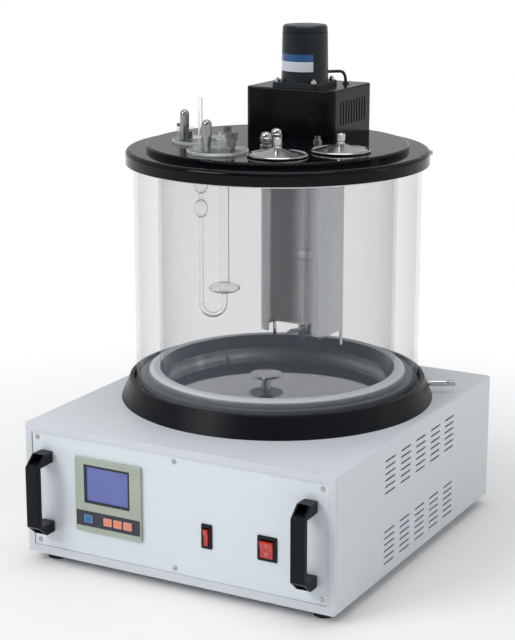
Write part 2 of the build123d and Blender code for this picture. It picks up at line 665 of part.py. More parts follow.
with BuildPart() as transformer:
    with Locations((0, REAR_BAY_Y, DECK_Z)):
        Box(84, 46, 3, align=(Align.CENTER, Align.CENTER, Align.MIN))
        Box(66, 34, 56, align=(Align.CENTER, Align.CENTER, Align.MIN))
    with Locations((0, REAR_BAY_Y, DECK_Z + 12)):
        Box(44, 54, 34, align=(Align.CENTER, Align.CENTER, Align.MIN))
    fillet(transformer.edges().filter_by(Axis.Z).group_by(Axis.Y)[0], 5)
    fillet(transformer.edges().filter_by(Axis.Z).group_by(Axis.Y)[-1], 5)
save(transformer, "transformer")

FIN_COUNT = 9
with BuildPart() as relay_heat_sink:
    with Locations((SINK_X, REAR_BAY_Y, DECK_Z)):
        Box(50, 70, 6, align=(Align.CENTER, Align.CENTER, Align.MIN))
    with Locations((SINK_X, REAR_BAY_Y, DECK_Z + 6)):
        with GridLocations(5.9, 1, FIN_COUNT, 1):
            Box(1.8, 70, 26, align=(Align.CENTER, Align.CENTER, Align.MIN))
    with Locations((SINK_X, REAR_BAY_Y, DECK_Z + 32)):
        Box(50, 60, 3, align=(Align.CENTER, Align.CENTER, Align.MIN))
        Box(43, 56, 24, align=(Align.CENTER, Align.CENTER, Align.MIN))
save(relay_heat_sink, "relay_heat_sink")

# Base ring: a conical skirt with a groove for the outer glass and a ledge for the pan
RING_BOTTOM = CABINET_TOP
SKIRT_SLOPE = (BASE_RING_R - RIM_R) / RIM_H
RING_UNDER = 9.0
LEDGE_T = 3.6
with BuildPart() as base_ring:
    add(ring_profile([
        (BASE_RING_R, 0), (RIM_R, RIM_H), (GROOVE_OUT_R, RIM_H), (GROOVE_OUT_R, GROOVE_Z), (GROOVE_IN_R, GROOVE_Z),
        (GROOVE_IN_R, LEDGE_Z), (LEDGE_IN_R, LEDGE_Z), (LEDGE_IN_R, LEDGE_Z - LEDGE_T),
        (GROOVE_IN_R - 4, LEDGE_Z - LEDGE_T), (GROOVE_IN_R - 4, RING_UNDER),
        (BASE_RING_R - RING_WALL - SKIRT_SLOPE * RING_UNDER, RING_UNDER), (BASE_RING_R - RING_WALL, 0)]))
    revolve(axis=Axis.Z)
    fillet(base_ring.edges().group_by(Axis.Z)[-1], 1.6)
    with BuildSketch(Plane.YZ):
        with Locations((0, DRAIN_Z)):
            Circle(DRAIN_SPIGOT_D / 2)
    extrude(amount=BASE_RING_R, mode=Mode.SUBTRACT)
    base_ring.part = base_ring.part.rotate(Axis.Z, DRAIN_ANGLE).moved(Location((0, BATH_Y, RING_BOTTOM)))
save(base_ring, "base_ring")


def turned(points, base_z, x=0.0, y=BATH_Y):
    """A piece turned about a vertical axis, from its half-section above base_z."""
    with BuildPart() as piece:
        with BuildSketch(Plane(origin=(x, y, base_z), x_dir=(1, 0, 0), z_dir=(0, -1, 0))):
            with BuildLine():
                Polyline(*points, close=True)
            make_face()
        revolve(axis=Axis((x, y, base_z), (0, 0, 1)))
    return piece


def tube_points(outer, wall, height):
    """Half-section of a plain tube."""
    return [(outer - wall, 0), (outer, 0), (outer, height), (outer - wall, height)]


OUTER_GLASS_Z = RING_BOTTOM + GROOVE_Z + OUTER_SEAL_T
outer_glass = turned(tube_points(OUTER_GLASS_R, OUTER_GLASS_T, GLASS_TOP - OUTER_GLASS_Z), OUTER_GLASS_Z)
save(outer_glass, "outer_glass")
inner_glass = turned(tube_points(INNER_GLASS_R, INNER_GLASS_T, GLASS_TOP - BRIM_TOP), BRIM_TOP)
save(inner_glass, "inner_glass")

# Seal rings: one under the outer glass, one grey ring on the pan's brim
with BuildPart() as seal_rings:
    for low, high, base in ((GROOVE_IN_R + 0.3, GROOVE_OUT_R - 0.3, RING_BOTTOM + GROOVE_Z),
                            (WHITE_RING_OUT_R + 0.2, GREY_RING_OUT_R, BRIM_TOP)):
        height = OUTER_SEAL_T if base < BRIM_TOP else GREY_RING_H
        with BuildSketch(Plane.XY.offset(base)):
            with Locations((0, BATH_Y)):
                Circle(high)
                Circle(low, mode=Mode.SUBTRACT)
        extrude(amount=height)
save(seal_rings, "seal_rings")

# White gasket ring, rounded where it rises to the inner glass
GASKET_IN_R = INNER_GLASS_R + GLASS_GAP
with BuildPart() as white_gasket:
    with BuildSketch(Plane(origin=(0, BATH_Y, BRIM_TOP), x_dir=(1, 0, 0), z_dir=(0, -1, 0))):
        with BuildLine():
            outer_wall = Line((WHITE_RING_OUT_R, 0), (WHITE_RING_OUT_R, WHITE_RING_LOW))
            crown = TangentArc(outer_wall @ 1, (GASKET_IN_R + 3.0, WHITE_RING_H), tangent=outer_wall % 1)
            Polyline(crown @ 1, (GASKET_IN_R, WHITE_RING_H), (GASKET_IN_R, 0), outer_wall @ 0)
        make_face()
    revolve(axis=Axis((0, BATH_Y, BRIM_TOP), (0, 0, 1)))
save(white_gasket, "white_gasket")

# Steel pan: floor, upright wall and a brim on the ledge
PAN_WALL_Z = LEDGE_Z + PAN_T - PAN_FLOOR_Z
pan_shell = turned([
    (0, 0), (PAN_R, 0), (PAN_R, PAN_WALL_Z), (GREY_RING_OUT_R, PAN_WALL_Z), (GREY_RING_OUT_R, PAN_WALL_Z - PAN_T),
    (PAN_R + PAN_T, PAN_WALL_Z - PAN_T), (PAN_R + PAN_T, -PAN_T), (0, -PAN_T)], RING_BOTTOM + PAN_FLOOR_Z)
drain_plane = Plane(origin=(0, BATH_Y, RING_BOTTOM + DRAIN_Z), x_dir=(0, 0, 1),
                    z_dir=(cos(radians(DRAIN_ANGLE)), sin(radians(DRAIN_ANGLE)), 0))
FLOOR_X = FLOOR_CAP_X
FLOOR_Y = BATH_Y + FLOOR_CAP_Y
STUD_D = 6.0
with BuildPart() as bath_pan:
    add(pan_shell.part)
    with BuildSketch(drain_plane):
        Circle(DRAIN_SPIGOT_D / 2)
    extrude(amount=GROOVE_IN_R, mode=Mode.SUBTRACT)
    with BuildSketch(Plane.XY.offset(RING_BOTTOM + PAN_FLOOR_Z - PAN_T)):
        with Locations((FLOOR_X, FLOOR_Y)):
            Circle(STUD_D / 2)
    extrude(amount=PAN_T, mode=Mode.SUBTRACT)
save(bath_pan, "bath_pan")

# Mushroom cap on the pan floor, with its stud down to the cabinet top
CAP_R = FLOOR_CAP_D / 2
floor_cap = turned([
    (0, -PAN_FLOOR_Z), (STUD_D / 2, -PAN_FLOOR_Z), (STUD_D / 2, 0), (FLOOR_STEM_D / 2, 0),
    (FLOOR_STEM_D / 2, FLOOR_CAP_H - 5), (CAP_R - 1, FLOOR_CAP_H - 5), (CAP_R, FLOOR_CAP_H - 3.8),
    (CAP_R - 2, FLOOR_CAP_H - 2), (0, FLOOR_CAP_H)], RING_BOTTOM + PAN_FLOOR_Z, FLOOR_X, FLOOR_Y)
save(floor_cap, "floor_cap")

# Drain pipe: a barbed outlet with a spigot through the base ring into the pan wall
DRAIN_SEAT_R = BASE_RING_R - SKIRT_SLOPE * DRAIN_Z + 1.6
SPIGOT_START = PAN_R + 0.2
with BuildPart() as drain_pipe:
    with BuildSketch(Plane.XZ):
        with BuildLine():
            big = DRAIN_D / 2
            Polyline((SPIGOT_START, DRAIN_BORE_D / 2), (SPIGOT_START, DRAIN_SPIGOT_D / 2 - 0.1),
                     (DRAIN_SEAT_R, DRAIN_SPIGOT_D / 2 - 0.1), (DRAIN_SEAT_R, big - 0.5),
                     (DRAIN_SEAT_R + DRAIN_NECK_L, big - 0.5), (DRAIN_SEAT_R + DRAIN_NECK_L, big), (DRAIN_TIP_R - 13, big),
                     (DRAIN_TIP_R - 12, big - 0.8), (DRAIN_TIP_R - 7.5, big), (DRAIN_TIP_R - 6.5, big - 0.8),
                     (DRAIN_TIP_R - 1.5, big), (DRAIN_TIP_R, big - 0.9), (DRAIN_TIP_R, DRAIN_BORE_D / 2), close=True)
        make_face()
    revolve(axis=Axis.X)
    drain_pipe.part = drain_pipe.part.rotate(Axis.Z, DRAIN_ANGLE).moved(Location((0, BATH_Y, RING_BOTTOM + DRAIN_Z)))
save(drain_pipe, "drain_pipe")

# Lid ring with grooves for both glasses
with BuildPart() as lid_ring:
    with BuildSketch(Plane.XY.offset(LID_UNDER)):
        with Locations((0, BATH_Y)):
            Circle(LID_R)
            Circle(LID_HOLE_R, mode=Mode.SUBTRACT)
    extrude(amount=LID_RING_T)
    with BuildSketch(Plane.XY.offset(LID_UNDER)):
        with Locations((0, BATH_Y)):
            for glass_r, glass_t in ((OUTER_GLASS_R, OUTER_GLASS_T), (INNER_GLASS_R, INNER_GLASS_T)):
                Circle(glass_r + GLASS_GAP)
                Circle(glass_r - glass_t - GLASS_GAP, mode=Mode.SUBTRACT)
    extrude(amount=GLASS_GROOVE, mode=Mode.SUBTRACT)
    fillet(lid_ring.edges().group_by(Axis.Z)[-1].sort_by(SortBy.LENGTH)[-1], 5.0)
    for angle in LOCK_SCREW_ANGLES:
        outward = (cos(radians(angle)), sin(radians(angle)), 0)
        hole_plane = Plane(origin=(0, BATH_Y, LID_UNDER + 11), x_dir=(0, 0, 1), z_dir=outward)
        with BuildSketch(hole_plane.offset(GROOVE_OUT_R)):
            Circle(LOCK_SCREW_D / 2)
        extrude(amount=LID_R - GROOVE_OUT_R + 1, mode=Mode.SUBTRACT)
save(lid_ring, "lid_ring")

# Lid disc with the four ports and the stirrer, heater and probe holes
HEATER_LEGS = [(HEATER_X, HEATER_Y - HEATER_SPAN / 2), (HEATER_X, HEATER_Y + HEATER_SPAN / 2)]
PLUGS = [(x, FRONT_Y + y) for x, y in PLUG_SPOTS]
PLUG_STEM_D = 9.0
GLAND_GAP = 0.2
with BuildPart() as lid_disc:
    with BuildSketch(Plane.XY.offset(RING_TOP)):
        with Locations((0, BATH_Y)):
            Circle(LID_DISC_R)
        with Locations(*PORTS):
            Circle(PORT_R, mode=Mode.SUBTRACT)
        with Locations((MOTOR_X, MOTOR_Y)):
            Circle(SHAFT_HOLE_D / 2, mode=Mode.SUBTRACT)
        with Locations(*HEATER_LEGS):
            Circle(HEATER_D / 2 + GLAND_GAP, mode=Mode.SUBTRACT)
        with Locations((SENSOR_X, SENSOR_Y)):
            Circle(SENSOR_D / 2 + GLAND_GAP, mode=Mode.SUBTRACT)
        with Locations(*PLUGS):
            Circle(PLUG_STEM_D / 2 + GLAND_GAP, mode=Mode.SUBTRACT)
    extrude(amount=LID_DISC_T)
    fillet(lid_disc.edges().group_by(Axis.Z)[-1].sort_by(SortBy.LENGTH)[-1], 2.4)
save(lid_disc, "lid_disc")

with BuildPart() as lid_lock_screws:
    for angle in LOCK_SCREW_ANGLES:
        outward = (cos(radians(angle)), sin(radians(angle)), 0)
        screw_plane = Plane(origin=(0, BATH_Y, LID_UNDER + 11), x_dir=(0, 0, 1), z_dir=outward)
        with BuildSketch(screw_plane.offset(LID_R)):
            Circle(LOCK_SCREW_HEAD_D / 2)
        extrude(amount=3.5, taper=12)
        with BuildSketch(screw_plane.offset(GROOVE_OUT_R + 0.4)):
            Circle(LOCK_SCREW_D / 2 - 0.1)
        extrude(amount=LID_R - GROOVE_OUT_R)
save(lid_lock_screws, "lid_lock_screws")

LEAD_X = MOTOR_X + 36.0
LEAD_Y = MOTOR_Y + 47.0
GROMMET_D = 9.0

# Motor housing: an open-bottomed box with rounded corners and side slots
with BuildPart() as motor_housing:
    with BuildSketch(Plane.XY.offset(LID_TOP)):
        with Locations((HOUSING_X, HOUSING_Y)):
            RectangleRounded(HOUSING_W, HOUSING_D, HOUSING_R)
    extrude(amount=HOUSING_H)
    fillet(motor_housing.edges().group_by(Axis.Z)[-1], 2.0)
    with BuildSketch(Plane.XY.offset(LID_TOP)):
        with Locations((HOUSING_X, HOUSING_Y)):
            RectangleRounded(HOUSING_W - 2 * HOUSING_T, HOUSING_D - 2 * HOUSING_T, HOUSING_R - HOUSING_T)
    extrude(amount=HOUSING_H - HOUSING_T, mode=Mode.SUBTRACT)
    slots_y = HOUSING_Y - HOUSING_D / 2 + HOUSING_SLOT_FIRST + (HOUSING_SLOTS - 1) * HOUSING_SLOT_PITCH / 2
    slots_z = LID_TOP + HOUSING_SLOT_Z + HOUSING_SLOT_H / 2
    with BuildSketch(Plane(origin=(HOUSING_X, slots_y, slots_z), x_dir=(0, 1, 0), z_dir=(1, 0, 0))):
        with GridLocations(HOUSING_SLOT_PITCH, 1, HOUSING_SLOTS, 1):
            Rectangle(HOUSING_SLOT_W, HOUSING_SLOT_H)
    extrude(amount=HOUSING_W, both=True, mode=Mode.SUBTRACT)
    with BuildSketch(Plane.XY.offset(HOUSING_TOP)):
        with Locations((MOTOR_X, MOTOR_Y)):
            Circle(11.0)
            with GridLocations(MOTOR_NUT_PITCH, MOTOR_NUT_PITCH, 2, 2):
                Circle(2.2)
    extrude(amount=-HOUSING_T, mode=Mode.SUBTRACT)
    with BuildSketch(Plane.XY.offset(HOUSING_TOP)):
        with Locations((LEAD_X, LEAD_Y)):
            Circle(GROMMET_D / 2 - 1.4)
    extrude(amount=-HOUSING_T, mode=Mode.SUBTRACT)
save(motor_housing, "motor_housing")

# Rubber grommet where the motor lead enters the housing
with BuildPart() as lead_grommet:
    with BuildSketch(Plane.XY.offset(HOUSING_TOP)):
        with Locations((LEAD_X, LEAD_Y)):
            Circle(GROMMET_D / 2)
    extrude(amount=2.0, taper=15)
    with BuildSketch(Plane.XY.offset(HOUSING_TOP)):
        with Locations((LEAD_X, LEAD_Y)):
            Circle(GROMMET_D / 2 - 1.6)
    extrude(amount=-HOUSING_T - 1.5)
save(lead_grommet, "lead_grommet")

# The lead leaves the motor's back through a short round gland
LEAD_TURN = 35.0
LEAD_OUT = (sin(radians(LEAD_TURN)), cos(radians(LEAD_TURN)), 0)
LEAD_R = MOTOR_R + 2.5
LEAD_Z = MOTOR_BASE + 10.0
LEAD_START = (MOTOR_X + LEAD_R * LEAD_OUT[0], MOTOR_Y + LEAD_R * LEAD_OUT[1], LEAD_Z)
LEAD_EXIT = Plane(origin=LEAD_START, x_dir=(0, 0, 1), z_dir=LEAD_OUT)

# Motor flange, motor, and the nuts that hold them to the housing
with BuildPart() as motor_flange:
    with BuildSketch(Plane.XY.offset(HOUSING_TOP)):
        with Locations((MOTOR_X, MOTOR_Y)):
            RectangleRounded(MOTOR_FLANGE, MOTOR_FLANGE, 6)
            Circle(11.0, mode=Mode.SUBTRACT)
            with GridLocations(MOTOR_NUT_PITCH, MOTOR_NUT_PITCH, 2, 2):
                Circle(2.2, mode=Mode.SUBTRACT)
    extrude(amount=MOTOR_FLANGE_T)
    chamfer(motor_flange.faces().sort_by(Axis.Z)[-1].outer_wire().edges(), 0.8)
save(motor_flange, "motor_flange")

MOTOR_FOOT_Z = HOUSING_TOP - HOUSING_T - 2.0
CAP_SEAM_DROP = 10.0
motor_can = turned([
    (0, MOTOR_BASE - MOTOR_FOOT_Z), (MOTOR_R + MOTOR_FLARE, MOTOR_BASE - MOTOR_FOOT_Z),
    (MOTOR_R - 0.3, MOTOR_BASE - MOTOR_FOOT_Z + MOTOR_H - CAP_SEAM_DROP),
    (MOTOR_R - 1.0, MOTOR_BASE - MOTOR_FOOT_Z + MOTOR_H - CAP_SEAM_DROP + 0.4),
    (MOTOR_R - 0.5, MOTOR_BASE - MOTOR_FOOT_Z + MOTOR_H - CAP_SEAM_DROP + 0.9),
    (MOTOR_R - 0.8, MOTOR_BASE - MOTOR_FOOT_Z + MOTOR_H - 3.0),
    (MOTOR_R - 3.0, MOTOR_BASE - MOTOR_FOOT_Z + MOTOR_H - 0.7),
    (0, MOTOR_BASE - MOTOR_FOOT_Z + MOTOR_H)], MOTOR_FOOT_Z, MOTOR_X, MOTOR_Y)
with BuildPart() as motor:
    add(motor_can.part)
    with BuildSketch(Plane.XY.offset(MOTOR_BASE)):
        with Locations((MOTOR_X, MOTOR_Y)):
            Circle(10.8)
    extrude(amount=-(MOTOR_BASE - MOTOR_FOOT_Z))
    with BuildSketch(LEAD_EXIT):
        Circle(LEAD_D / 2 + 1.6)
    extrude(amount=-6)
save(motor, "motor")

with BuildPart() as motor_nuts:
    with BuildSketch(Plane.XY.offset(MOTOR_BASE)):
        with Locations((MOTOR_X, MOTOR_Y)):
            with GridLocations(MOTOR_NUT_PITCH, MOTOR_NUT_PITCH, 2, 2):
                RegularPolygon(3.9, 6)
    extrude(amount=3.2)
    with BuildSketch(Plane.XY.offset(MOTOR_BASE + 5.2)):
        with Locations((MOTOR_X, MOTOR_Y)):
            with GridLocations(MOTOR_NUT_PITCH, MOTOR_NUT_PITCH, 2, 2):
                Circle(2.0)
    extrude(amount=-(MOTOR_FLANGE_T + HOUSING_T + 8))
save(motor_nuts, "motor_nuts")

# Motor lead: from the boss on the motor's back down into the grommet
LEAD_ROUTE = [
    LEAD_START,
    (LEAD_START[0] + 10 * LEAD_OUT[0], LEAD_START[1] + 10 * LEAD_OUT[1], LEAD_Z),
    (LEAD_X, LEAD_Y, LEAD_Z - 0.5),
    (LEAD_X, LEAD_Y, HOUSING_TOP + 2.0),
]


def corner_radii(route, share=0.45):
    """The largest tidy bend at each corner of a route: a share of its shorter run."""
    points = [Vector(*p) for p in route]
    radii = []
    for before, corner, after in zip(points, points[1:], points[2:]):
        run_in, run_out = corner - before, after - corner
        turn = radians(run_in.get_angle(run_out))
        radii.append(share * min(run_in.length, run_out.length) / tan(turn / 2))
    return radii


LEAD_RADII = corner_radii(LEAD_ROUTE)
print("motor lead radii", [round(r, 1) for r in LEAD_RADII])
with BuildPart() as motor_lead:
    with BuildLine():
        lead_path = FilletPolyline(*LEAD_ROUTE, radius=LEAD_RADII)
    with BuildSketch(Plane(origin=lead_path @ 0, z_dir=lead_path % 0)):
        Circle(LEAD_D / 2)
    sweep()
print("motor lead length", round(lead_path.length, 1))
save(motor_lead, "motor_lead")

# Stirrer: motor shaft coupling, shaft and propeller turn together
SHAFT_TOP = LID_TOP + 24.0
SHAFT_FOOT = CABINET_TOP + SHAFT_BOTTOM_Z
COUPLING_Z = SHAFT_TOP - COUPLING_L / 2
STEM_TOP = MOTOR_FOOT_Z - 0.4
with BuildPart() as shaft_coupling:
    with BuildSketch(Plane.XY.offset(COUPLING_Z)):
        with Locations((MOTOR_X, MOTOR_Y)):
            Circle(COUPLING_D / 2)
    extrude(amount=COUPLING_L)
    chamfer(shaft_coupling.edges().filter_by(GeomType.CIRCLE), 0.8)
    with BuildSketch(Plane.XY.offset(COUPLING_Z)):
        with Locations((MOTOR_X, MOTOR_Y)):
            Circle(SHAFT_D / 2)
    extrude(amount=COUPLING_L / 2, mode=Mode.SUBTRACT)
    with BuildSketch(Plane.XY.offset(COUPLING_Z + COUPLING_L)):
        with Locations((MOTOR_X, MOTOR_Y)):
            Circle(MOTOR_SHAFT_D / 2)
    extrude(amount=STEM_TOP - COUPLING_Z - COUPLING_L)
    for height in (7.0, COUPLING_L - 7.0):
        with BuildSketch(Plane(origin=(MOTOR_X, MOTOR_Y, COUPLING_Z + height), x_dir=(0, 0, 1), z_dir=(1, 0, 0))):
            Circle(2.0)
        extrude(amount=COUPLING_D / 2, mode=Mode.SUBTRACT)
save(shaft_coupling, "shaft_coupling")

with BuildPart() as stirrer_shaft:
    with BuildSketch(Plane.XY.offset(SHAFT_FOOT)):
        with Locations((MOTOR_X, MOTOR_Y)):
            Circle(SHAFT_D / 2)
    extrude(amount=SHAFT_TOP - SHAFT_FOOT)
    chamfer(stirrer_shaft.edges().group_by(Axis.Z)[0], 0.8)
save(stirrer_shaft, "stirrer_shaft")

PROPELLER_Z = SHAFT_FOOT + 6.0
BLADES = 3
with BuildPart() as propeller:
    with Locations((0, 0, 0)):
        Cylinder(PROPELLER_HUB_D / 2, PROPELLER_H)
    for blade in range(BLADES):
        angle = blade * 360 / BLADES
        outward = (cos(radians(angle)), sin(radians(angle)), 0)
        with BuildSketch(Plane(origin=(0, 0, 0), x_dir=(0, 0, 1), z_dir=outward)):
            Rectangle(BLADE_T, BLADE_W, rotation=BLADE_PITCH)
        extrude(amount=PROPELLER_R)
    with Locations((0, 0, 0)):
        Cylinder(PROPELLER_R, 2 * PROPELLER_H, mode=Mode.INTERSECT)
        Cylinder(SHAFT_D / 2, 2 * PROPELLER_H, mode=Mode.SUBTRACT)
    propeller.part = propeller.part.moved(Location((MOTOR_X, MOTOR_Y, PROPELLER_Z + PROPELLER_H / 2)))
save(propeller, "propeller")

# Flow shroud: one sheet bent round the stirrer and heater, open towards the back of the bath
SHROUD_BACK = SHROUD_Y + SHROUD_SIDE + SHROUD_REAR
SHROUD_MID_Y = (SHROUD_Y + SHROUD_BACK) / 2
SHROUD_TOP = RING_TOP
SHROUD_FOOT = CABINET_TOP + SHROUD_REAR_Z
with BuildPart() as shroud:
    with BuildSketch(Plane.XY.offset(SHROUD_FOOT)):
        with Locations((SHROUD_X, SHROUD_MID_Y)):
            RectangleRounded(SHROUD_W, SHROUD_BACK - SHROUD_Y, SHROUD_R)
            RectangleRounded(SHROUD_W - 2 * SHROUD_T, SHROUD_BACK - SHROUD_Y - 2 * SHROUD_T, SHROUD_R - SHROUD_T,
                             mode=Mode.SUBTRACT)
        with Locations((SHROUD_X, SHROUD_BACK)):
            Rectangle(SHROUD_W + 2, 2 * SHROUD_R, mode=Mode.SUBTRACT)
    extrude(amount=SHROUD_TOP - SHROUD_FOOT)
    with BuildSketch(Plane.XY.offset(SHROUD_FOOT)):
        with Locations((SHROUD_X, SHROUD_Y + SHROUD_R / 2)):
            Rectangle(SHROUD_W - 2 * SHROUD_R, SHROUD_R)
    extrude(amount=SHROUD_FRONT_Z - SHROUD_REAR_Z, mode=Mode.SUBTRACT)
    with BuildSketch(Plane.XY.offset(SHROUD_FOOT)):
        with Locations((SHROUD_X, SHROUD_Y + SHROUD_SIDE / 2)):
            Rectangle(SHROUD_W + 4, SHROUD_SIDE)
    extrude(amount=SHROUD_SIDE_Z - SHROUD_REAR_Z, mode=Mode.SUBTRACT)
    lip_y = SHROUD_Y - SHROUD_LIP_D / 2 + SHROUD_T
    lip_plane = Plane(origin=(SHROUD_X, lip_y, CABINET_TOP + SHROUD_FRONT_Z), x_dir=(0, 1, 0), z_dir=(1, 0, 0))
    with BuildSketch(lip_plane):
        Circle(SHROUD_LIP_D / 2)
    extrude(amount=SHROUD_W / 2 - SHROUD_R, both=True)
    with BuildSketch(Plane(origin=(0, SHROUD_MID_Y, LID_UNDER - 60), x_dir=(0, 1, 0), z_dir=(1, 0, 0))):
        with GridLocations(16, 34, 2, 6):
            Circle(1.1)
    extrude(amount=SHROUD_W, mode=Mode.SUBTRACT)
save(shroud, "shroud")

# Heater: one U tube with its two legs through the lid disc
LEG_TOP = LID_TOP + 8.0
HEATER_FOOT = CABINET_TOP + HEATER_BOTTOM_Z
with BuildPart() as heater:
    with BuildLine() as heater_path:
        FilletPolyline((HEATER_X, HEATER_Y - HEATER_SPAN / 2, LEG_TOP), (HEATER_X, HEATER_Y - HEATER_SPAN / 2, HEATER_FOOT),
                       (HEATER_X, HEATER_Y + HEATER_SPAN / 2, HEATER_FOOT), (HEATER_X, HEATER_Y + HEATER_SPAN / 2, LEG_TOP),
                       radius=HEATER_SPAN / 2 - 0.5)
    with BuildSketch(Plane.XY.offset(LEG_TOP)):
        with Locations(HEATER_LEGS[0]):
            Circle(HEATER_D / 2)
    sweep()
    with Locations(*[(x, y, LID_TOP) for x, y in HEATER_LEGS]):
        Cylinder(HEATER_D / 2 + 2, 3, align=(Align.CENTER, Align.CENTER, Align.MIN))
save(heater, "heater")

temperature_sensor = turned([
    (0, 0), (SENSOR_D / 2 - 1, 0), (SENSOR_D / 2, 1), (SENSOR_D / 2, LID_TOP - CABINET_TOP - SENSOR_BOTTOM_Z),
    (SENSOR_D / 2 + 3, LID_TOP - CABINET_TOP - SENSOR_BOTTOM_Z),
    (SENSOR_D / 2 + 3, LID_TOP - CABINET_TOP - SENSOR_BOTTOM_Z + 9), (2, LID_TOP - CABINET_TOP - SENSOR_BOTTOM_Z + 11),
    (0, LID_TOP - CABINET_TOP - SENSOR_BOTTOM_Z + 11)], CABINET_TOP + SENSOR_BOTTOM_Z, SENSOR_X, SENSOR_Y)
save(temperature_sensor, "temperature_sensor")

# Two domed plugs in the spare probe holes of the lid
with BuildPart() as dome_plugs:
    for x, y in PLUGS:
        with BuildSketch(Plane(origin=(x, y, LID_TOP), x_dir=(1, 0, 0), z_dir=(0, -1, 0))):
            with BuildLine():
                r = PLUG_D / 2
                dome_z = PLUG_H - r * 0.8
                side = Polyline((0, -LID_DISC_T + 0.5), (PLUG_STEM_D / 2, -LID_DISC_T + 0.5), (PLUG_STEM_D / 2, 0),
                                (r, 0), (r, 3.0), (r - 1.6, 4.4), (r - 1.6, 6.0), (r, 7.2), (r, dome_z - 1.4),
                                (r - 0.9, dome_z - 0.4), (r - 0.9, dome_z))
                Spline(side @ 1, (0, PLUG_H), tangents=[(0, 1), (-1, 0)])
                Line((0, PLUG_H), side @ 0)
            make_face()
        revolve(axis=Axis((x, y, LID_TOP), (0, 0, 1)))
save(dome_plugs, "dome_plugs")

# Cone lids over the two free ports
SPIGOT_R = PORT_R - PORT_GAP
CONE_LIDS = (("right", PORTS[0]), ("front", PORTS[1]))
CONE_INNER_R = CONE_R - 3.4
CONE_Z = LID_TOP + CONE_LIFT
for name, (x, y) in CONE_LIDS:
    cone_lid = turned([
        (0, CONE_TOP_H - CONE_T), (5, CONE_TOP_H - CONE_T), (SPIGOT_R - 1, 1.0), (SPIGOT_R - 1, -SPIGOT_H),
        (SPIGOT_R, -SPIGOT_H), (SPIGOT_R, 0), (CONE_R - 1, 0), (CONE_R, 1.0), (CONE_R, CONE_RIM_H - 1),
        (CONE_R - 1, CONE_RIM_H), (CONE_INNER_R + 1, CONE_RIM_H), (CONE_INNER_R, CONE_RIM_H - 1.4), (5.5, CONE_TOP_H),
        (0, CONE_TOP_H)], CONE_Z, x, y)
    save(cone_lid, f"cone_lid_{name}")

for name, (x, y) in CONE_LIDS:
    with BuildPart() as lid_knob:
        with BuildSketch(Plane(origin=(x, y, CONE_Z + CONE_TOP_H), x_dir=(1, 0, 0), z_dir=(0, -1, 0))):
            with BuildLine():
                r = KNOB_D / 2
                Polyline((0, 0), (r, 0), (r - 0.2, 1.2), (r - 1.3, 2.6), (r - 1.3, 3.4), (r, 4.2), (r, KNOB_H - 1.6),
                         (r - 1.4, KNOB_H - 0.6), (0, KNOB_H), close=True)
            make_face()
        revolve(axis=Axis((x, y, CONE_Z), (0, 0, 1)))
    save(lid_knob, f"lid_knob_{name}")

# Holder discs of clear acrylic in the other two ports, drilled for the arms of a viscometer
ARM_U = (cos(radians(ARM_ANGLE)), sin(radians(ARM_ANGLE)))
HOLDERS = {"front": PORTS[2], "rear": PORTS[3]}


def on_disc(centre, s, t):
    """A point on a holder disc: s along the arms' line, t at right angles towards the back."""
    return (centre[0] + s * ARM_U[0] - t * ARM_U[1], centre[1] + s * ARM_U[1] + t * ARM_U[0])


ARM_HOLES = ((THIN_S, THIN_R), (WIDE_S, WIDE_R))
for name, centre in HOLDERS.items():
    with BuildPart() as holder_disc:
        with BuildSketch(Plane.XY.offset(LID_TOP)):
            with Locations(centre):
                Circle(HOLDER_R)
        extrude(amount=HOLDER_T)
        chamfer(holder_disc.edges().filter_by(GeomType.CIRCLE), 0.5)
        with BuildSketch(Plane.XY.offset(LID_TOP)):
            with Locations(centre):
                Circle(HOLDER_BOSS_R)
        extrude(amount=-SPIGOT_H)
        with BuildSketch(Plane.XY.offset(DISC_TOP)):
            for s, r in ARM_HOLES:
                with Locations(on_disc(centre, s, 0)):
                    Circle(r + ARM_GAP)
        extrude(amount=-(HOLDER_T + SPIGOT_H), mode=Mode.SUBTRACT)
    save(holder_disc, f"holder_disc_{name}")

# Clamp blocks: a clear block on each arm of the front holder, and two on the rear holder
FRONT_HOLDER = HOLDERS["front"]
REAR_HOLDER = HOLDERS["rear"]
BLOCK_A = (10.0, 23.0, 16.0)
BLOCK_B = (17.0, 17.0, 12.5)
BLOCK_A_T = -6.5
CLAMP_TURN = Location((0, 0, 0), (0, 0, ARM_ANGLE))
REAR_BLOCKS = (((-27.0, 3.0), (9.5, 12.0, 16.0)), ((-14.0, 11.0), (9.0, 9.0, 14.0)))
THUMB_SPOTS = (
    (on_disc(FRONT_HOLDER, 17.5, -29.0), 7.4, 10.4), (on_disc(FRONT_HOLDER, 19.5, -11.5), 13.2, 9.6),
    (on_disc(FRONT_HOLDER, 11.6, 15.0), 17.5, 9.0), (on_disc(REAR_HOLDER, -17.0, -8.0), 2.0, 9.0),
    (on_disc(REAR_HOLDER, -27.0, 3.0), 16.0, 3.2))
THUMB_STEM_R = 1.5
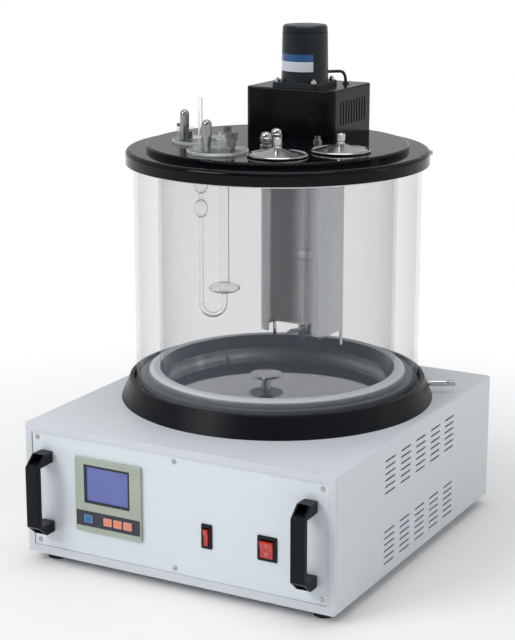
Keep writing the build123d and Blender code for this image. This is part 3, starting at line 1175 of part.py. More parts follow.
with BuildPart() as clamp_blocks:
    for centre, (s, t), size in ((FRONT_HOLDER, (THIN_S - 3.2, BLOCK_A_T), BLOCK_A), (FRONT_HOLDER, (WIDE_S, 0), BLOCK_B),
                                 (REAR_HOLDER, REAR_BLOCKS[0][0], REAR_BLOCKS[0][1]),
                                 (REAR_HOLDER, REAR_BLOCKS[1][0], REAR_BLOCKS[1][1])):
        with Locations(Location((*on_disc(centre, s, t), DISC_TOP), (0, 0, ARM_ANGLE))):
            Box(*size, align=(Align.CENTER, Align.CENTER, Align.MIN))
    fillet(clamp_blocks.edges().filter_by(Axis.Z), 1.0)
    with BuildSketch(Plane.XY.offset(DISC_TOP)):
        for s, r in ARM_HOLES:
            with Locations(on_disc(FRONT_HOLDER, s, 0)):
                Circle(r + ARM_GAP)
        with Locations(*[spot for spot, _, _ in THUMB_SPOTS]):
            Circle(THUMB_STEM_R + 0.1)
    extrude(amount=BLOCK_A[2], mode=Mode.SUBTRACT)
save(clamp_blocks, "clamp_blocks")

# Bullet-shaped lifting handles, one on each holder disc
LIFT_SPOTS = (on_disc(FRONT_HOLDER, -12.3, -26.2), on_disc(REAR_HOLDER, -21.0, -20.5))
with BuildPart() as lift_handles:
    for x, y in LIFT_SPOTS:
        with BuildSketch(Plane(origin=(x, y, DISC_TOP), x_dir=(1, 0, 0), z_dir=(0, -1, 0))):
            with BuildLine():
                foot, body = LIFT_FOOT_D / 2, LIFT_D / 2
                side = Polyline((0, 0), (foot, 0), (foot + 0.2, 8), (body - 0.1, LIFT_H - 20), (body, LIFT_H - body))
                dome = RadiusArc(side @ 1, (0, LIFT_H), -body)
                Line(dome @ 1, side @ 0)
            make_face()
        revolve(axis=Axis((x, y, DISC_TOP), (0, 0, 1)))
save(lift_handles, "lift_handles")

# Knurled thumb screws of the holders: a stem in the disc and a fluted head
FLUTES = 18
HEAD_R = 5.1
with BuildPart() as thumb_screws:
    for (x, y), lift, height in THUMB_SPOTS:
        with BuildSketch(Plane.XY.offset(DISC_TOP)):
            with Locations((x, y)):
                Circle(THUMB_STEM_R)
        extrude(amount=lift)
        with BuildSketch(Plane.XY.offset(DISC_TOP + lift)):
            with Locations((x, y)):
                Circle(HEAD_R)
                with PolarLocations(HEAD_R + 0.25, FLUTES):
                    Circle(0.5, mode=Mode.SUBTRACT)
        extrude(amount=height)
save(thumb_screws, "thumb_screws")


# Viscometer: a U of glass with a thin capillary arm, two bulbs, a flat reservoir and a wide arm
THIN_XY = on_disc(FRONT_HOLDER, THIN_S, 0)
WIDE_XY = on_disc(FRONT_HOLDER, WIDE_S, 0)
BEND_R = (WIDE_S - THIN_S) / 2
BEND_TOP = CABINET_TOP + BEND_Z + BEND_R
UP = (0, 0, 1)


def arm_solid(xy, stations):
    """A turned arm from a list of (z, radius) stations."""
    with BuildPart() as arm:
        with BuildSketch(Plane(origin=(*xy, 0), x_dir=(1, 0, 0), z_dir=(0, -1, 0))):
            with BuildLine():
                Polyline((0, stations[0][0]), *[(r, z) for z, r in stations], (0, stations[-1][0]), close=True)
            make_face()
        revolve(axis=Axis((*xy, 0), UP))
    return arm.part


def bulb_stations(middle, radius, half, tube, count=9):
    """Stations of an elliptic bulb of the given half height, where it stands proud of the tube."""
    edge = acos(tube / radius)
    angles = [edge * (2 * n / count - 1) for n in range(count + 1)]
    return [(middle + half * sin(angle), radius * cos(angle)) for angle in angles]


def thin_stations(wall):
    """Capillary arm: bend end, capillary, lower bulb, neck, upper bulb, top tube."""
    tube = THIN_R - wall
    bulb_r = BULB_R - (1.0 if wall else 0.0)
    lower = bulb_stations(CABINET_TOP + LOWER_BULB_Z, bulb_r, 11.5 - wall, tube)
    upper = bulb_stations(CABINET_TOP + UPPER_BULB_Z, bulb_r, 11.5 - wall, tube)
    top = CABINET_TOP + THIN_TOP_Z + (1.0 if wall else 0.0)
    return [(BEND_TOP, tube), *lower, (CABINET_TOP + NECK_Z, tube - 0.6), *upper, (top, tube)]


def wide_stations(wall):
    """Filling arm: bend end, narrow neck, flat reservoir and the wide tube above it."""
    narrow = THIN_R + 0.8 - wall
    tube = WIDE_R - wall
    reservoir = bulb_stations(CABINET_TOP + RESERVOIR_Z, RESERVOIR_R - wall, RESERVOIR_H - wall, tube, count=13)
    top = CABINET_TOP + WIDE_TOP_Z + (1.0 if wall else 0.0)
    below = [(z, r) for z, r in reservoir if z < CABINET_TOP + RESERVOIR_Z]
    above = [(z, r) for z, r in reservoir if z >= CABINET_TOP + RESERVOIR_Z]
    return [(BEND_TOP, narrow), (CABINET_TOP + RESERVOIR_Z - RESERVOIR_H - 1.5, narrow), *below, *above, (top, tube)]


GLASS_WALL = 1.1
BEND_MIDDLE = ((THIN_XY[0] + WIDE_XY[0]) / 2, (THIN_XY[1] + WIDE_XY[1]) / 2, BEND_TOP)
BEND_PLANE = Plane(origin=BEND_MIDDLE, x_dir=(*ARM_U, 0), z_dir=(ARM_U[1], -ARM_U[0], 0))
with BuildPart() as viscometer:
    for wall, mode in ((0.0, Mode.ADD), (GLASS_WALL, Mode.SUBTRACT)):
        add(arm_solid(THIN_XY, thin_stations(wall)), mode=mode)
        add(arm_solid(WIDE_XY, wide_stations(wall)), mode=mode)
        with BuildLine(BEND_PLANE):
            bend_path = CenterArc((0, 0), BEND_R, 180, 180)
        with BuildSketch(Plane(origin=(*THIN_XY, BEND_TOP), x_dir=(*ARM_U, 0), z_dir=(0, 0, -1))):
            Circle(THIN_R + 0.4 - wall)
        sweep(path=bend_path, mode=mode)
save(viscometer, "viscometer")
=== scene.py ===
"""Looks of a kinematic viscosity bath with one capillary viscometer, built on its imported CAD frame."""
import math

import bmesh
import bpy
from bpy.props import FloatProperty, FloatVectorProperty, IntProperty, PointerProperty
from mathutils import Matrix, Vector


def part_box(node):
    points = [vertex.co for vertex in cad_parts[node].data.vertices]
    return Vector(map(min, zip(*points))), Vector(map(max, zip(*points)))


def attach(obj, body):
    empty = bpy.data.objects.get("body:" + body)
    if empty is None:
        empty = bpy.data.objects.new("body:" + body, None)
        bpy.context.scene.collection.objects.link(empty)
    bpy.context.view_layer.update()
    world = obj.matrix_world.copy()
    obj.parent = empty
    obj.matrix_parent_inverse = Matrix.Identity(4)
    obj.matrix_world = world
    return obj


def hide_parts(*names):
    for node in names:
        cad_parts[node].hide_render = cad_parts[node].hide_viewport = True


bl_info = {
    "name": "Viscosity bath",
    "version": (1, 0, 0),
    "blender": (4, 5, 0),
    "location": "View3D > Sidebar > Bath",
    "description": "Finishes and small pieces of a glass viscosity bath and its viscometer",
    "category": "Add Mesh",
}

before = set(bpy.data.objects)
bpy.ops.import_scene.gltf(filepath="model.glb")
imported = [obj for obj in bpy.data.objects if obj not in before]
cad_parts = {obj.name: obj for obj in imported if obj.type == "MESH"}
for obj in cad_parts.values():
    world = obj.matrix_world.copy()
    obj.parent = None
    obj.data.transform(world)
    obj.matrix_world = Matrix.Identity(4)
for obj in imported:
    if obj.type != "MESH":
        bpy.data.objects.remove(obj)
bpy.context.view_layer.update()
MM = 0.001

# Places and sizes of the CAD pieces that the finishes follow, in mm
JAR_Y = 42.6
MOTOR_AXIS = (0.5, 116.0)
MOTOR_FOOT_R, MOTOR_FOOT_Z, MOTOR_TAPER = 30.5, 574.4, 1.2 / 76.0
METER_X, METER_Z = -93.5, 102.6
SCREEN_SHIFT, SCREEN_SIZE, SCREEN_FRAME = (-1.3, 14.8), (66.6, 50.2), 3.0
KEY_DROP = 30.5
BLUE_KEY_X, ORANGE_KEYS_X = -28.7, (-0.3, 14.2, 28.7)
SWITCH_PIVOT = (127.4, -217.5, 79.1)
HOLDER_SPOTS = (("holder_disc_front", (-24.5, -67.1)), ("holder_disc_rear", (-85.25, -2.0)))
HOLDER_RIM_R = 36.9
SEAL_LINES = (("outer_seal_line", 184.15, 186.4), ("inner_seal_line", 153.45, 155.4))
GASKET_SHOULDER_R = 166.3
LABEL_Z = (599.5, 621.5)
LABEL_SPLIT_Z = 611.5
LEAD_ROUTE = ((18.912, 142.295, 595.4), (24.648, 150.486, 595.4), (36.5, 163.0, 594.9), (36.5, 163.0, 580.4))
LEAD_D = 4.0

# Distance from the middle at which the floor starts to fade to white, and the fade's width, in metres
FADE_START, FADE_WIDTH = 0.42, 0.55


def colour(name, about, rgb):
    """A colour property with its default in scene-linear values."""
    return FloatVectorProperty(name=name, description=about, default=rgb, subtype="COLOR", size=3, min=0,
                               max=1)


class BathCabinetSettings(bpy.types.PropertyGroup):
    """Paint and trim of the control cabinet."""

    enamel: colour("Enamel", "Pale enamel of the cabinet shell", (0.655, 0.70, 0.74))
    panel: colour("Panel", "Paint of the front panel", (0.74, 0.805, 0.865))
    satin: colour("Satin plastic", "Black moulded plastic of handles and switches", (0.0050, 0.0060, 0.0095))
    peel: FloatProperty(name="Peel", description="Depth of the paint's orange peel", default=0.00006,
                        unit="LENGTH")


class BathControlSettings(bpy.types.PropertyGroup):
    """Controller, keys and rocker switches."""

    bezel: colour("Bezel", "Grey-green moulding round the display", (0.40, 0.455, 0.385))
    screen: colour("Screen", "Lit liquid crystal", (0.125, 0.150, 0.42))
    strip: colour("Key strip", "Dark film under the keys", (0.030, 0.032, 0.050))
    blue: colour("Blue key", "Set key", (0.0, 0.15, 0.43))
    orange: colour("Orange keys", "Three adjusting keys", (0.80, 0.25, 0.15))
    red: colour("Rocker", "Lit red rocker", (0.50, 0.022, 0.020))
    glow: FloatProperty(name="Glow", description="Strength of the screen's own light", default=0.10, min=0)


class BathJarSettings(bpy.types.PropertyGroup):
    """Jar glass, seals and steel."""

    glass: colour("Glass", "Tint of the jar's two walls", (0.30, 0.335, 0.39))
    steel: colour("Steel", "Polished stainless steel", (0.55, 0.56, 0.57))
    gasket: colour("Gasket", "White moulded ring", (0.74, 0.77, 0.80))
    seal: colour("Seal", "Grey rubber ring", (0.14, 0.15, 0.16))
    ring: colour("Base ring", "Black satin skirt", (0.0045, 0.0055, 0.0080))
    seal_line: FloatProperty(name="Seal line", description="Height of the white ring below the lid",
                             default=2.6 * MM, unit="LENGTH")


class BathLidSettings(bpy.types.PropertyGroup):
    """Lid, stirrer drive and port fittings."""

    gloss: colour("Gloss black", "Lid and motor housing", (0.0028, 0.0032, 0.0045))
    slate: colour("Motor", "Dark slate paint of the motor", (0.0100, 0.0145, 0.0190))
    nickel: colour("Nickel", "Plated screws, plugs and knobs", (0.52, 0.50, 0.47))
    knurl: colour("Dark nickel", "Knurled thumb screws", (0.22, 0.21, 0.20))
    label_blue: colour("Label blue", "Upper field of the motor's plain label", (0.008, 0.075, 0.24))
    label_turn: FloatProperty(name="Label turn", description="Angle covered by the motor's label",
                              default=math.radians(110), subtype="ANGLE")
    lead: IntProperty(name="Lead steps", description="Steps along the motor lead", default=16, min=4)


def settings(name):
    """The property group of one part of the bath."""
    return getattr(bpy.context.scene, name)


class Wire:
    """One node socket that takes part in plain arithmetic."""

    def __init__(self, maker, socket):
        self.maker, self.socket = maker, socket

    def _math(self, kind, first, second=0.0):
        return self.maker.node("ShaderNodeMath", {"operation": kind}, {0: first, 1: second})

    def __add__(self, other):
        return self._math("ADD", self, other)

    __radd__ = __add__

    def __mul__(self, other):
        return self._math("MULTIPLY", self, other)

    __rmul__ = __mul__

    def __sub__(self, other):
        return self._math("SUBTRACT", self, other)

    def __rsub__(self, other):
        return self._math("SUBTRACT", other, self)

    def __truediv__(self, other):
        return self._math("DIVIDE", self, other)

    def __pow__(self, other):
        return self._math("POWER", self, other)

    def __gt__(self, other):
        return self._math("GREATER_THAN", self, other)

    def __lt__(self, other):
        return self._math("LESS_THAN", self, other)

    def apply(self, kind, other=0.0):
        """Any other operation of the Math node."""
        return self._math(kind, self, other)

    def clamp(self):
        """Keeps the number between 0 and 1."""
        return self.apply("MAXIMUM", 0.0).apply("MINIMUM", 1.0)


class Finish:
    """One node material and the tools that fill it."""

    def __init__(self, name):
        self.material = bpy.data.materials.new(name)
        self.material.use_nodes = True
        self.tree = self.material.node_tree
        self.shader = next(n for n in self.tree.nodes if n.type == "BSDF_PRINCIPLED")
        self._place = None

    def node(self, kind, setup=None, inputs=None, output=0):
        """Adds a node, sets it up, then fills its sockets with values or wires."""
        node = self.tree.nodes.new(kind)
        for key, value in (setup or {}).items():
            setattr(node, key, value)
        for key, value in (inputs or {}).items():
            socket = node.inputs[key]
            if isinstance(value, Wire):
                self.tree.links.new(value.socket, socket)
            else:
                socket.default_value = value
        return Wire(self, node.outputs[output])

    def place(self):
        """Object coordinates, which are the model's own metres."""
        if self._place is None:
            self._place = self.node("ShaderNodeTexCoord", output="Object")
        return self._place

    def axes(self):
        """The three Object coordinates as numbers."""
        split = self.node("ShaderNodeSeparateXYZ", inputs={0: self.place()})
        outputs = split.socket.node.outputs
        return [Wire(self, outputs[n]) for n in range(3)]

    def noise(self, scale, detail=3.0, rough=0.5, stretch=None):
        """Noise in the model's space, stretched along chosen axes."""
        where = self.place()
        if stretch:
            where = self.node("ShaderNodeMapping", inputs={"Vector": where, "Scale": stretch})
        return self.node("ShaderNodeTexNoise",
                         inputs={"Vector": where, "Scale": scale, "Detail": detail, "Roughness": rough})

    def mix(self, amount, first, second):
        """Mixes two colours, given as wires or plain values."""
        node = self.tree.nodes.new("ShaderNodeMix")
        node.data_type = "RGBA"
        for socket, value in ((node.inputs[0], amount), (node.inputs[6], first), (node.inputs[7], second)):
            if isinstance(value, Wire):
                self.tree.links.new(value.socket, socket)
            else:
                socket.default_value = value if socket.type == "VALUE" else (*value[:3], 1)
        return Wire(self, node.outputs[2])

    def set(self, **sockets):
        """Sets the shader's sockets by name, with underscores for spaces."""
        for key, value in sockets.items():
            socket = self.shader.inputs[key.replace("_", " ")]
            if isinstance(value, Wire):
                self.tree.links.new(value.socket, socket)
            elif socket.type == "RGBA":
                socket.default_value = (*value[:3], 1)
            else:
                socket.default_value = value
        return self

    def bump(self, height, distance, strength=0.4):
        """Feeds the Normal from a height, in metres of depth."""
        bump = self.node("ShaderNodeBump",
                         inputs={"Height": height, "Distance": distance, "Strength": strength})
        return self.set(Normal=bump)


def shade(rgb, factor):
    """A lighter or darker neighbour of a colour."""
    return tuple(min(1.0, c * factor) for c in rgb[:3])


def enamel_finish(name, rgb, rough=0.38, peel=0.00006):
    """Baked enamel: a trace of cloudiness and a fine orange peel."""
    f = Finish(name)
    cloud = f.noise(7.0, 2.0)
    speck = f.noise(900.0, 2.0)
    f.set(Base_Color=f.mix(cloud, shade(rgb, 0.965), shade(rgb, 1.03)), Coat_Weight=0.15,
          Roughness=cloud * 0.10 + (rough - 0.05), Coat_Roughness=0.25)
    return f.bump(speck, peel, 0.35).material


def plastic_finish(name, rgb, rough=0.42, grain=0.00008, scale=1400.0, spec=0.5):
    """Moulded plastic with a fine spark-eroded grain."""
    f = Finish(name)
    grainy = f.noise(scale, 2.0)
    tone = f.noise(30.0, 2.0)
    f.set(Base_Color=f.mix(tone, shade(rgb, 0.88), shade(rgb, 1.12)), Roughness=tone * 0.12 + (rough - 0.06),
          Specular_IOR_Level=spec)
    return f.bump(grainy, grain, 0.35).material


def gloss_finish(name, rgb, rough=0.10):
    """High-gloss lacquer, with faint wiping marks in its roughness."""
    f = Finish(name)
    wipe = f.noise(18.0, 4.0, 0.6, (1.0, 3.0, 1.0))
    dust = f.noise(2600.0, 1.0)
    f.set(Base_Color=f.mix((dust > 0.74) * 0.25, rgb, shade(rgb, 3.5)), Roughness=wipe * 0.07 + rough,
          Specular_IOR_Level=0.13)
    return f.bump(f.noise(60.0, 1.0), 0.00003, 0.2).material


def rubber_finish(name, rgb, rough=0.55):
    """Moulded rubber: matte, a little uneven."""
    f = Finish(name)
    tone = f.noise(60.0, 3.0)
    f.set(Base_Color=f.mix(tone, shade(rgb, 0.93), shade(rgb, 1.05)), Roughness=tone * 0.15 + (rough - 0.07))
    return f.bump(f.noise(700.0, 2.0), 0.0001, 0.35).material


def steel_finish(name, rgb, rough=0.12, stretch=(1.0, 1.0, 0.02), scale=900.0, depth=0.00002, metal=1.0):
    """Polished or brushed metal, with its fine lines along one direction."""
    f = Finish(name)
    lines = f.noise(scale, 3.0, 0.6, stretch)
    stain_and_painted_reflection = f.noise(22.0, 3.0)
    f.set(Base_Color=f.mix(stain_and_painted_reflection, shade(rgb, 0.88), shade(rgb, 1.08)), Metallic=metal,
          Roughness=lines * 0.10 + stain_and_painted_reflection * 0.05 + (rough - 0.07))
    return f.bump(lines, depth, 0.25).material


def glass_finish(name, rgb, low=0.05, edge=0.55, power=2.6, rough=0.03, haze=0.0):
    """Clear glass: nearly open when seen face on, and closing towards its edges."""
    f = Finish(name)
    facing = f.node("ShaderNodeLayerWeight", inputs={"Blend": 0.5}, output="Facing")
    smear = f.noise(14.0, 3.0, 0.6, (1.0, 1.0, 0.5))
    f.set(Base_Color=f.mix(smear, shade(rgb, 0.95), shade(rgb, 1.03)), Roughness=smear * 0.04 + rough,
          Alpha=facing ** power * edge + low + smear * haze, Specular_IOR_Level=0.6)
    return f.material


def screen_finish(rgb, dark, glow):
    """The display: a dark stepped frame round a lit screen, by its place in the window."""
    f = Finish("liquid_crystal")
    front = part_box("meter_display")[0][1]
    x, y, z = f.axes()
    middle_x, middle_z = (METER_X + SCREEN_SHIFT[0]) * MM, (METER_Z + SCREEN_SHIFT[1]) * MM
    half_x, half_z = ((size / 2 - SCREEN_FRAME) * MM for size in SCREEN_SIZE)
    across = ((x - middle_x).apply("ABSOLUTE") < half_x)
    up = ((z - middle_z).apply("ABSOLUTE") < half_z)
    lit = across * up * (y > front + 1.0 * MM)
    soft = f.noise(40.0, 2.0)
    f.set(Base_Color=f.mix(lit, dark, f.mix(soft, shade(rgb, 0.92), shade(rgb, 1.06))), Roughness=0.22,
          Emission_Color=f.mix(lit, (0, 0, 0), rgb), Emission_Strength=glow)
    return f.material


def dress(material, *nodes):
    """Gives CAD nodes a finish, in every material slot they have."""
    for name in nodes:
        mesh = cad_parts[name].data
        if not mesh.materials:
            mesh.materials.append(material)
        for n in range(len(mesh.materials)):
            mesh.materials[n] = material


def keep(bm, name, material, body, smooth=None, replaces=()):
    """Turns a finished bmesh into a piece of the scene that rides on its body."""
    bmesh.ops.remove_doubles(bm, verts=bm.verts, dist=1e-6)
    bmesh.ops.recalc_face_normals(bm, faces=bm.faces)
    mesh = bpy.data.meshes.new(name)
    bm.to_mesh(mesh)
    bm.free()
    piece = bpy.data.objects.new(name, mesh)
    bpy.context.scene.collection.objects.link(piece)
    mesh.materials.append(material)
    if smooth is not None:
        mesh.shade_smooth()
        mesh.set_sharp_from_angle(angle=math.radians(smooth))
    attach(piece, body)
    if replaces:
        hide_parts(*replaces)
    return piece


def spun(profile, centre, turn=math.tau, start=0.0, steps=96):
    """Spins a closed or open half-section of (radius, height) round an upright axis."""
    bm = bmesh.new()
    corners = [bm.verts.new((centre[0] + r * math.cos(start), centre[1] + r * math.sin(start), z))
               for r, z in profile]
    edges = [bm.edges.new(pair) for pair in zip(corners, corners[1:])]
    bmesh.ops.spin(bm, geom=corners + edges, cent=(*centre, 0), axis=(0, 0, 1), angle=turn, steps=steps,
                   use_merge=abs(turn - math.tau) < 1e-6)
    return bm


def light(name, place, aim, size, power, tint=(1, 1, 1)):
    """One soft rectangular lamp aimed at a point."""
    lamp = bpy.data.lights.new(name, "AREA")
    lamp.shape, lamp.size, lamp.size_y = "RECTANGLE", size[0], size[1]
    lamp.energy, lamp.color = power, tint
    holder = bpy.data.objects.new(name, lamp)
    bpy.context.scene.collection.objects.link(holder)
    holder.location = place
    holder.rotation_euler = (Vector(aim) - Vector(place)).to_track_quat("-Z", "Y").to_euler()


class BATH_OT_stage(bpy.types.Operator):
    """Camera, floor, world and lamps."""

    bl_idname = "bath.stage"
    bl_label = "Stage and lights"

    def execute(self, context):
        scene = context.scene
        scene.view_settings.view_transform = "Standard"
        camera = bpy.data.objects.new("camera", bpy.data.cameras.new("camera"))
        scene.collection.objects.link(camera)
        camera.location = (1.0385, -1.9044, 0.8479)
        camera.rotation_euler = (math.radians(75.6), 0, math.radians(28.74))
        camera.data.lens = 98.25
        scene.camera = camera

        bm = bmesh.new()
        bmesh.ops.create_grid(bm, x_segments=2, y_segments=2, size=6.0)
        mesh = bpy.data.meshes.new("floor")
        bm.to_mesh(mesh)
        bm.free()
        floor = bpy.data.objects.new("floor", mesh)
        scene.collection.objects.link(floor)
        paper = Finish("floor_paper")
        paper.set(Base_Color=paper.mix(paper.noise(3.0), (0.90, 0.90, 0.90), (0.93, 0.93, 0.93)),
                  Roughness=0.9, Specular_IOR_Level=0.1)
        x, y, z = paper.axes()
        fade = (((x ** 2.0 + y ** 2.0) ** 0.5 - FADE_START) / FADE_WIDTH).clamp()
        white = paper.node("ShaderNodeEmission", inputs={"Color": (1, 1, 1, 1), "Strength": 1.0},
                           output="Emission")
        blend = paper.node("ShaderNodeMixShader", output="Shader")
        inputs = blend.socket.node.inputs
        paper.tree.links.new(fade.socket, inputs[0])
        paper.tree.links.new(paper.shader.outputs[0], inputs[1])
        paper.tree.links.new(white.socket, inputs[2])
        ending = next(n for n in paper.tree.nodes if n.type == "OUTPUT_MATERIAL")
        paper.tree.links.new(blend.socket, ending.inputs["Surface"])
        mesh.materials.append(paper.material)

        world = bpy.data.worlds.new("studio")
        scene.world = world
        world.use_nodes = True
        tree = world.node_tree
        back = next(n for n in tree.nodes if n.type == "BACKGROUND")
        path = tree.nodes.new("ShaderNodeLightPath")
        either = tree.nodes.new("ShaderNodeMath")
        either.operation = "MAXIMUM"
        tree.links.new(path.outputs["Is Camera Ray"], either.inputs[0])
        tree.links.new(path.outputs["Is Transmission Ray"], either.inputs[1])
        where = tree.nodes.new("ShaderNodeTexCoord")
        split = tree.nodes.new("ShaderNodeSeparateXYZ")
        tree.links.new(where.outputs["Generated"], split.inputs[0])
        front = tree.nodes.new("ShaderNodeMapRange")
        for key, value in (("From Min", -0.95), ("From Max", -0.35), ("To Min", 0.10), ("To Max", 0.58)):
            front.inputs[key].default_value = value
        tree.links.new(split.outputs["Y"], front.inputs["Value"])
        level = tree.nodes.new("ShaderNodeMapRange")
        tree.links.new(front.outputs[0], level.inputs["To Min"])
        level.inputs["To Max"].default_value = 1.0
        tree.links.new(either.outputs[0], level.inputs["Value"])
        tree.links.new(level.outputs[0], back.inputs["Strength"])
        back.inputs["Color"].default_value = (1, 1, 1, 1)

        light("key_lamp", (-1.5, -2.6, 2.3), (0, 0, 0.3), (1.6, 1.6), 56)
        light("top_lamp", (0.2, -0.2, 2.6), (0, 0, 0.2), (1.8, 1.8), 19)
        light("rim_lamp", (2.2, 1.2, 1.4), (0, 0, 0.35), (0.5, 1.6), 2.5)
        return {"FINISHED"}


class BATH_OT_lead(bpy.types.Operator):
    """Motor lead: a short black cord from the motor's gland into the housing."""

    bl_idname = "bath.lead"
    bl_label = "Motor lead"

    def execute(self, context):
        line = bpy.data.curves.new("motor_lead_cord", "CURVE")
        line.dimensions = "3D"
        line.bevel_depth = LEAD_D / 2 * MM
        line.bevel_resolution = 4
        line.use_fill_caps = True
        line.resolution_u = settings("bath_lid").lead
        spline = line.splines.new("NURBS")
        spline.points.add(len(LEAD_ROUTE) - 1)
        for point, place in zip(spline.points, LEAD_ROUTE):
            point.co = (*[v * MM for v in place], 1)
        spline.order_u = 3
        spline.use_endpoint_u = True
        cord = bpy.data.objects.new("motor_lead_cord", line)
        context.scene.collection.objects.link(cord)
        line.materials.append(rubber_finish("lead_sheath", (0.012, 0.012, 0.013), 0.5))
        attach(cord, "bath")
        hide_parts("motor_lead")
        return {"FINISHED"}


class BATH_OT_cabinet(bpy.types.Operator):
    """Enamelled cabinet, handles, feet and the parts behind its vents."""

    bl_idname = "bath.cabinet"
    bl_label = "Cabinet"

    def execute(self, context):
        s = settings("bath_cabinet")
        dress(enamel_finish("cabinet_enamel", s.enamel, 0.42, s.peel),
              "cabinet_shell", "rear_panel", "base_plate")
        dress(enamel_finish("panel_enamel", s.panel, 0.36, s.peel), "front_panel")
        dress(plastic_finish("handle_plastic", s.satin, 0.32, spec=0.16),
              "handle_left", "handle_right", "power_inlet")
        dress(plastic_finish("switch_plastic", s.satin, 0.26, spec=0.25),
              "stirrer_switch_body", "main_switch_body")
        dress(rubber_finish("foot_rubber", (0.012, 0.012, 0.013), 0.7), "feet", "lead_grommet")
        dress(steel_finish("screw_nickel", settings("bath_lid").nickel, 0.22),
              "panel_screws", "handle_screws", "lid_lock_screws", "motor_nuts")
        dress(plastic_finish("board_laminate", (0.02, 0.10, 0.045), 0.5), "control_board")
        dress(plastic_finish("varnished_core", (0.04, 0.035, 0.03), 0.5), "transformer")
        dress(steel_finish("sink_aluminium", (0.45, 0.46, 0.47), 0.4), "relay_heat_sink")
        return {"FINISHED"}


class BATH_OT_controller(bpy.types.Operator):
    """Controller bezel, display, key strip and keys."""

    bl_idname = "bath.controller"
    bl_label = "Controller"

    def execute(self, context):
        s = settings("bath_control")
        dress(plastic_finish("bezel_moulding", s.bezel, 0.45), "meter_bezel")
        dress(plastic_finish("case_moulding", (0.014, 0.015, 0.018), 0.5), "meter_case")
        dress(screen_finish(s.screen, (0.008, 0.011, 0.02), s.glow), "meter_display")
        dress(plastic_finish("strip_film", s.strip, 0.35), "key_strip")
        dress(key_finish("blue_key_cap", s.blue, METER_X + BLUE_KEY_X), "key_blue")
        for number, x in enumerate(ORANGE_KEYS_X, 1):
            name = f"key_orange_{number}"
            dress(key_finish(name + "_cap", s.orange, METER_X + x), name)
        return {"FINISHED"}


def key_finish(name, rgb, middle_x):
    """A key cap: a paler rim round a clearer middle."""
    f = Finish(name)
    x, y, z = f.axes()
    off_x = (x - middle_x * MM).apply("ABSOLUTE") / (6.0 * MM)
    off_z = (z - (METER_Z - KEY_DROP) * MM).apply("ABSOLUTE") / (5.0 * MM)
    rim = off_x.apply("MAXIMUM", off_z) > 0.80
    tone = f.noise(400.0, 2.0)
    pale = shade(tuple(c * 0.6 + 0.3 for c in rgb), 1.1)
    f.set(Base_Color=f.mix(rim * 0.45 + tone * 0.15, rgb, pale), Roughness=0.32)
    return f.bump(tone, 0.0001, 0.3).material


class BATH_OT_switches(bpy.types.Operator):
    """Lit red rockers and the two marks of the power switch."""

    bl_idname = "bath.switches"
    bl_label = "Rocker switches"

    def execute(self, context):
        s = settings("bath_control")
        f = Finish("rocker_red")
        tone = f.noise(120.0, 2.0)
        x, y, z = f.axes()
        # The emission grows from dark red low down to bright orange-red at the top: a painted highlight on
        # the upper facet, over the lit rocker's own glow.
        glow = ((z - SWITCH_PIVOT[2] * MM) * 60.0 + 0.35).clamp()
        f.set(Base_Color=f.mix(tone, shade(s.red, 0.85), s.red), Roughness=tone * 0.08 + 0.14,
              Coat_Weight=0.5, Coat_Roughness=0.05,
              Emission_Color=f.mix(glow, (0.25, 0.0, 0.0), (1.0, 0.09, 0.03)), Emission_Strength=0.14)
        dress(f.material, "main_rocker", "stirrer_rocker")

        white = plastic_finish("mark_ink", (0.62, 0.50, 0.48), 0.4)
        pivot = Matrix.Translation(SWITCH_PIVOT)
        tilt = Matrix.Rotation(math.radians(8.0), 4, "X")
        rise = math.atan2(1.6, 10.15)
        for name, side in (("mark_on", 1), ("mark_off", -1)):
            bm = bmesh.new()
            if side > 0:
                made = bmesh.ops.create_cube(bm, size=1.0)["verts"]
                bmesh.ops.scale(bm, verts=made, vec=(0.7, 0.12, 3.2))
                bmesh.ops.bevel(bm, geom=bm.edges[:], offset=0.04, segments=1, profile=0.5, affect="EDGES",
                                material=-1)
            else:
                bmesh.ops.create_circle(bm, segments=32, radius=1.9)
                bmesh.ops.extrude_edge_only(bm, edges=bm.edges[:])
                fresh = sorted(bm.verts, key=lambda v: v.index)[-32:]
                bmesh.ops.scale(bm, verts=fresh, vec=(0.72, 0.72, 1.0))
                bmesh.ops.rotate(bm, verts=bm.verts, cent=(0, 0, 0),
                                 matrix=Matrix.Rotation(math.radians(90), 3, "X"))
                bmesh.ops.solidify(bm, geom=bm.faces[:], thickness=0.12)
            lean = Matrix.Rotation(side * rise, 4, "X")
            shift = Matrix.Translation((0, -6.2 + 0.8 - 0.09, side * 5.4))
            bmesh.ops.transform(bm, verts=bm.verts, matrix=pivot @ tilt @ shift @ lean)
            bmesh.ops.scale(bm, verts=bm.verts, vec=(MM, MM, MM))
            keep(bm, name, white, "main_switch")
        return {"FINISHED"}


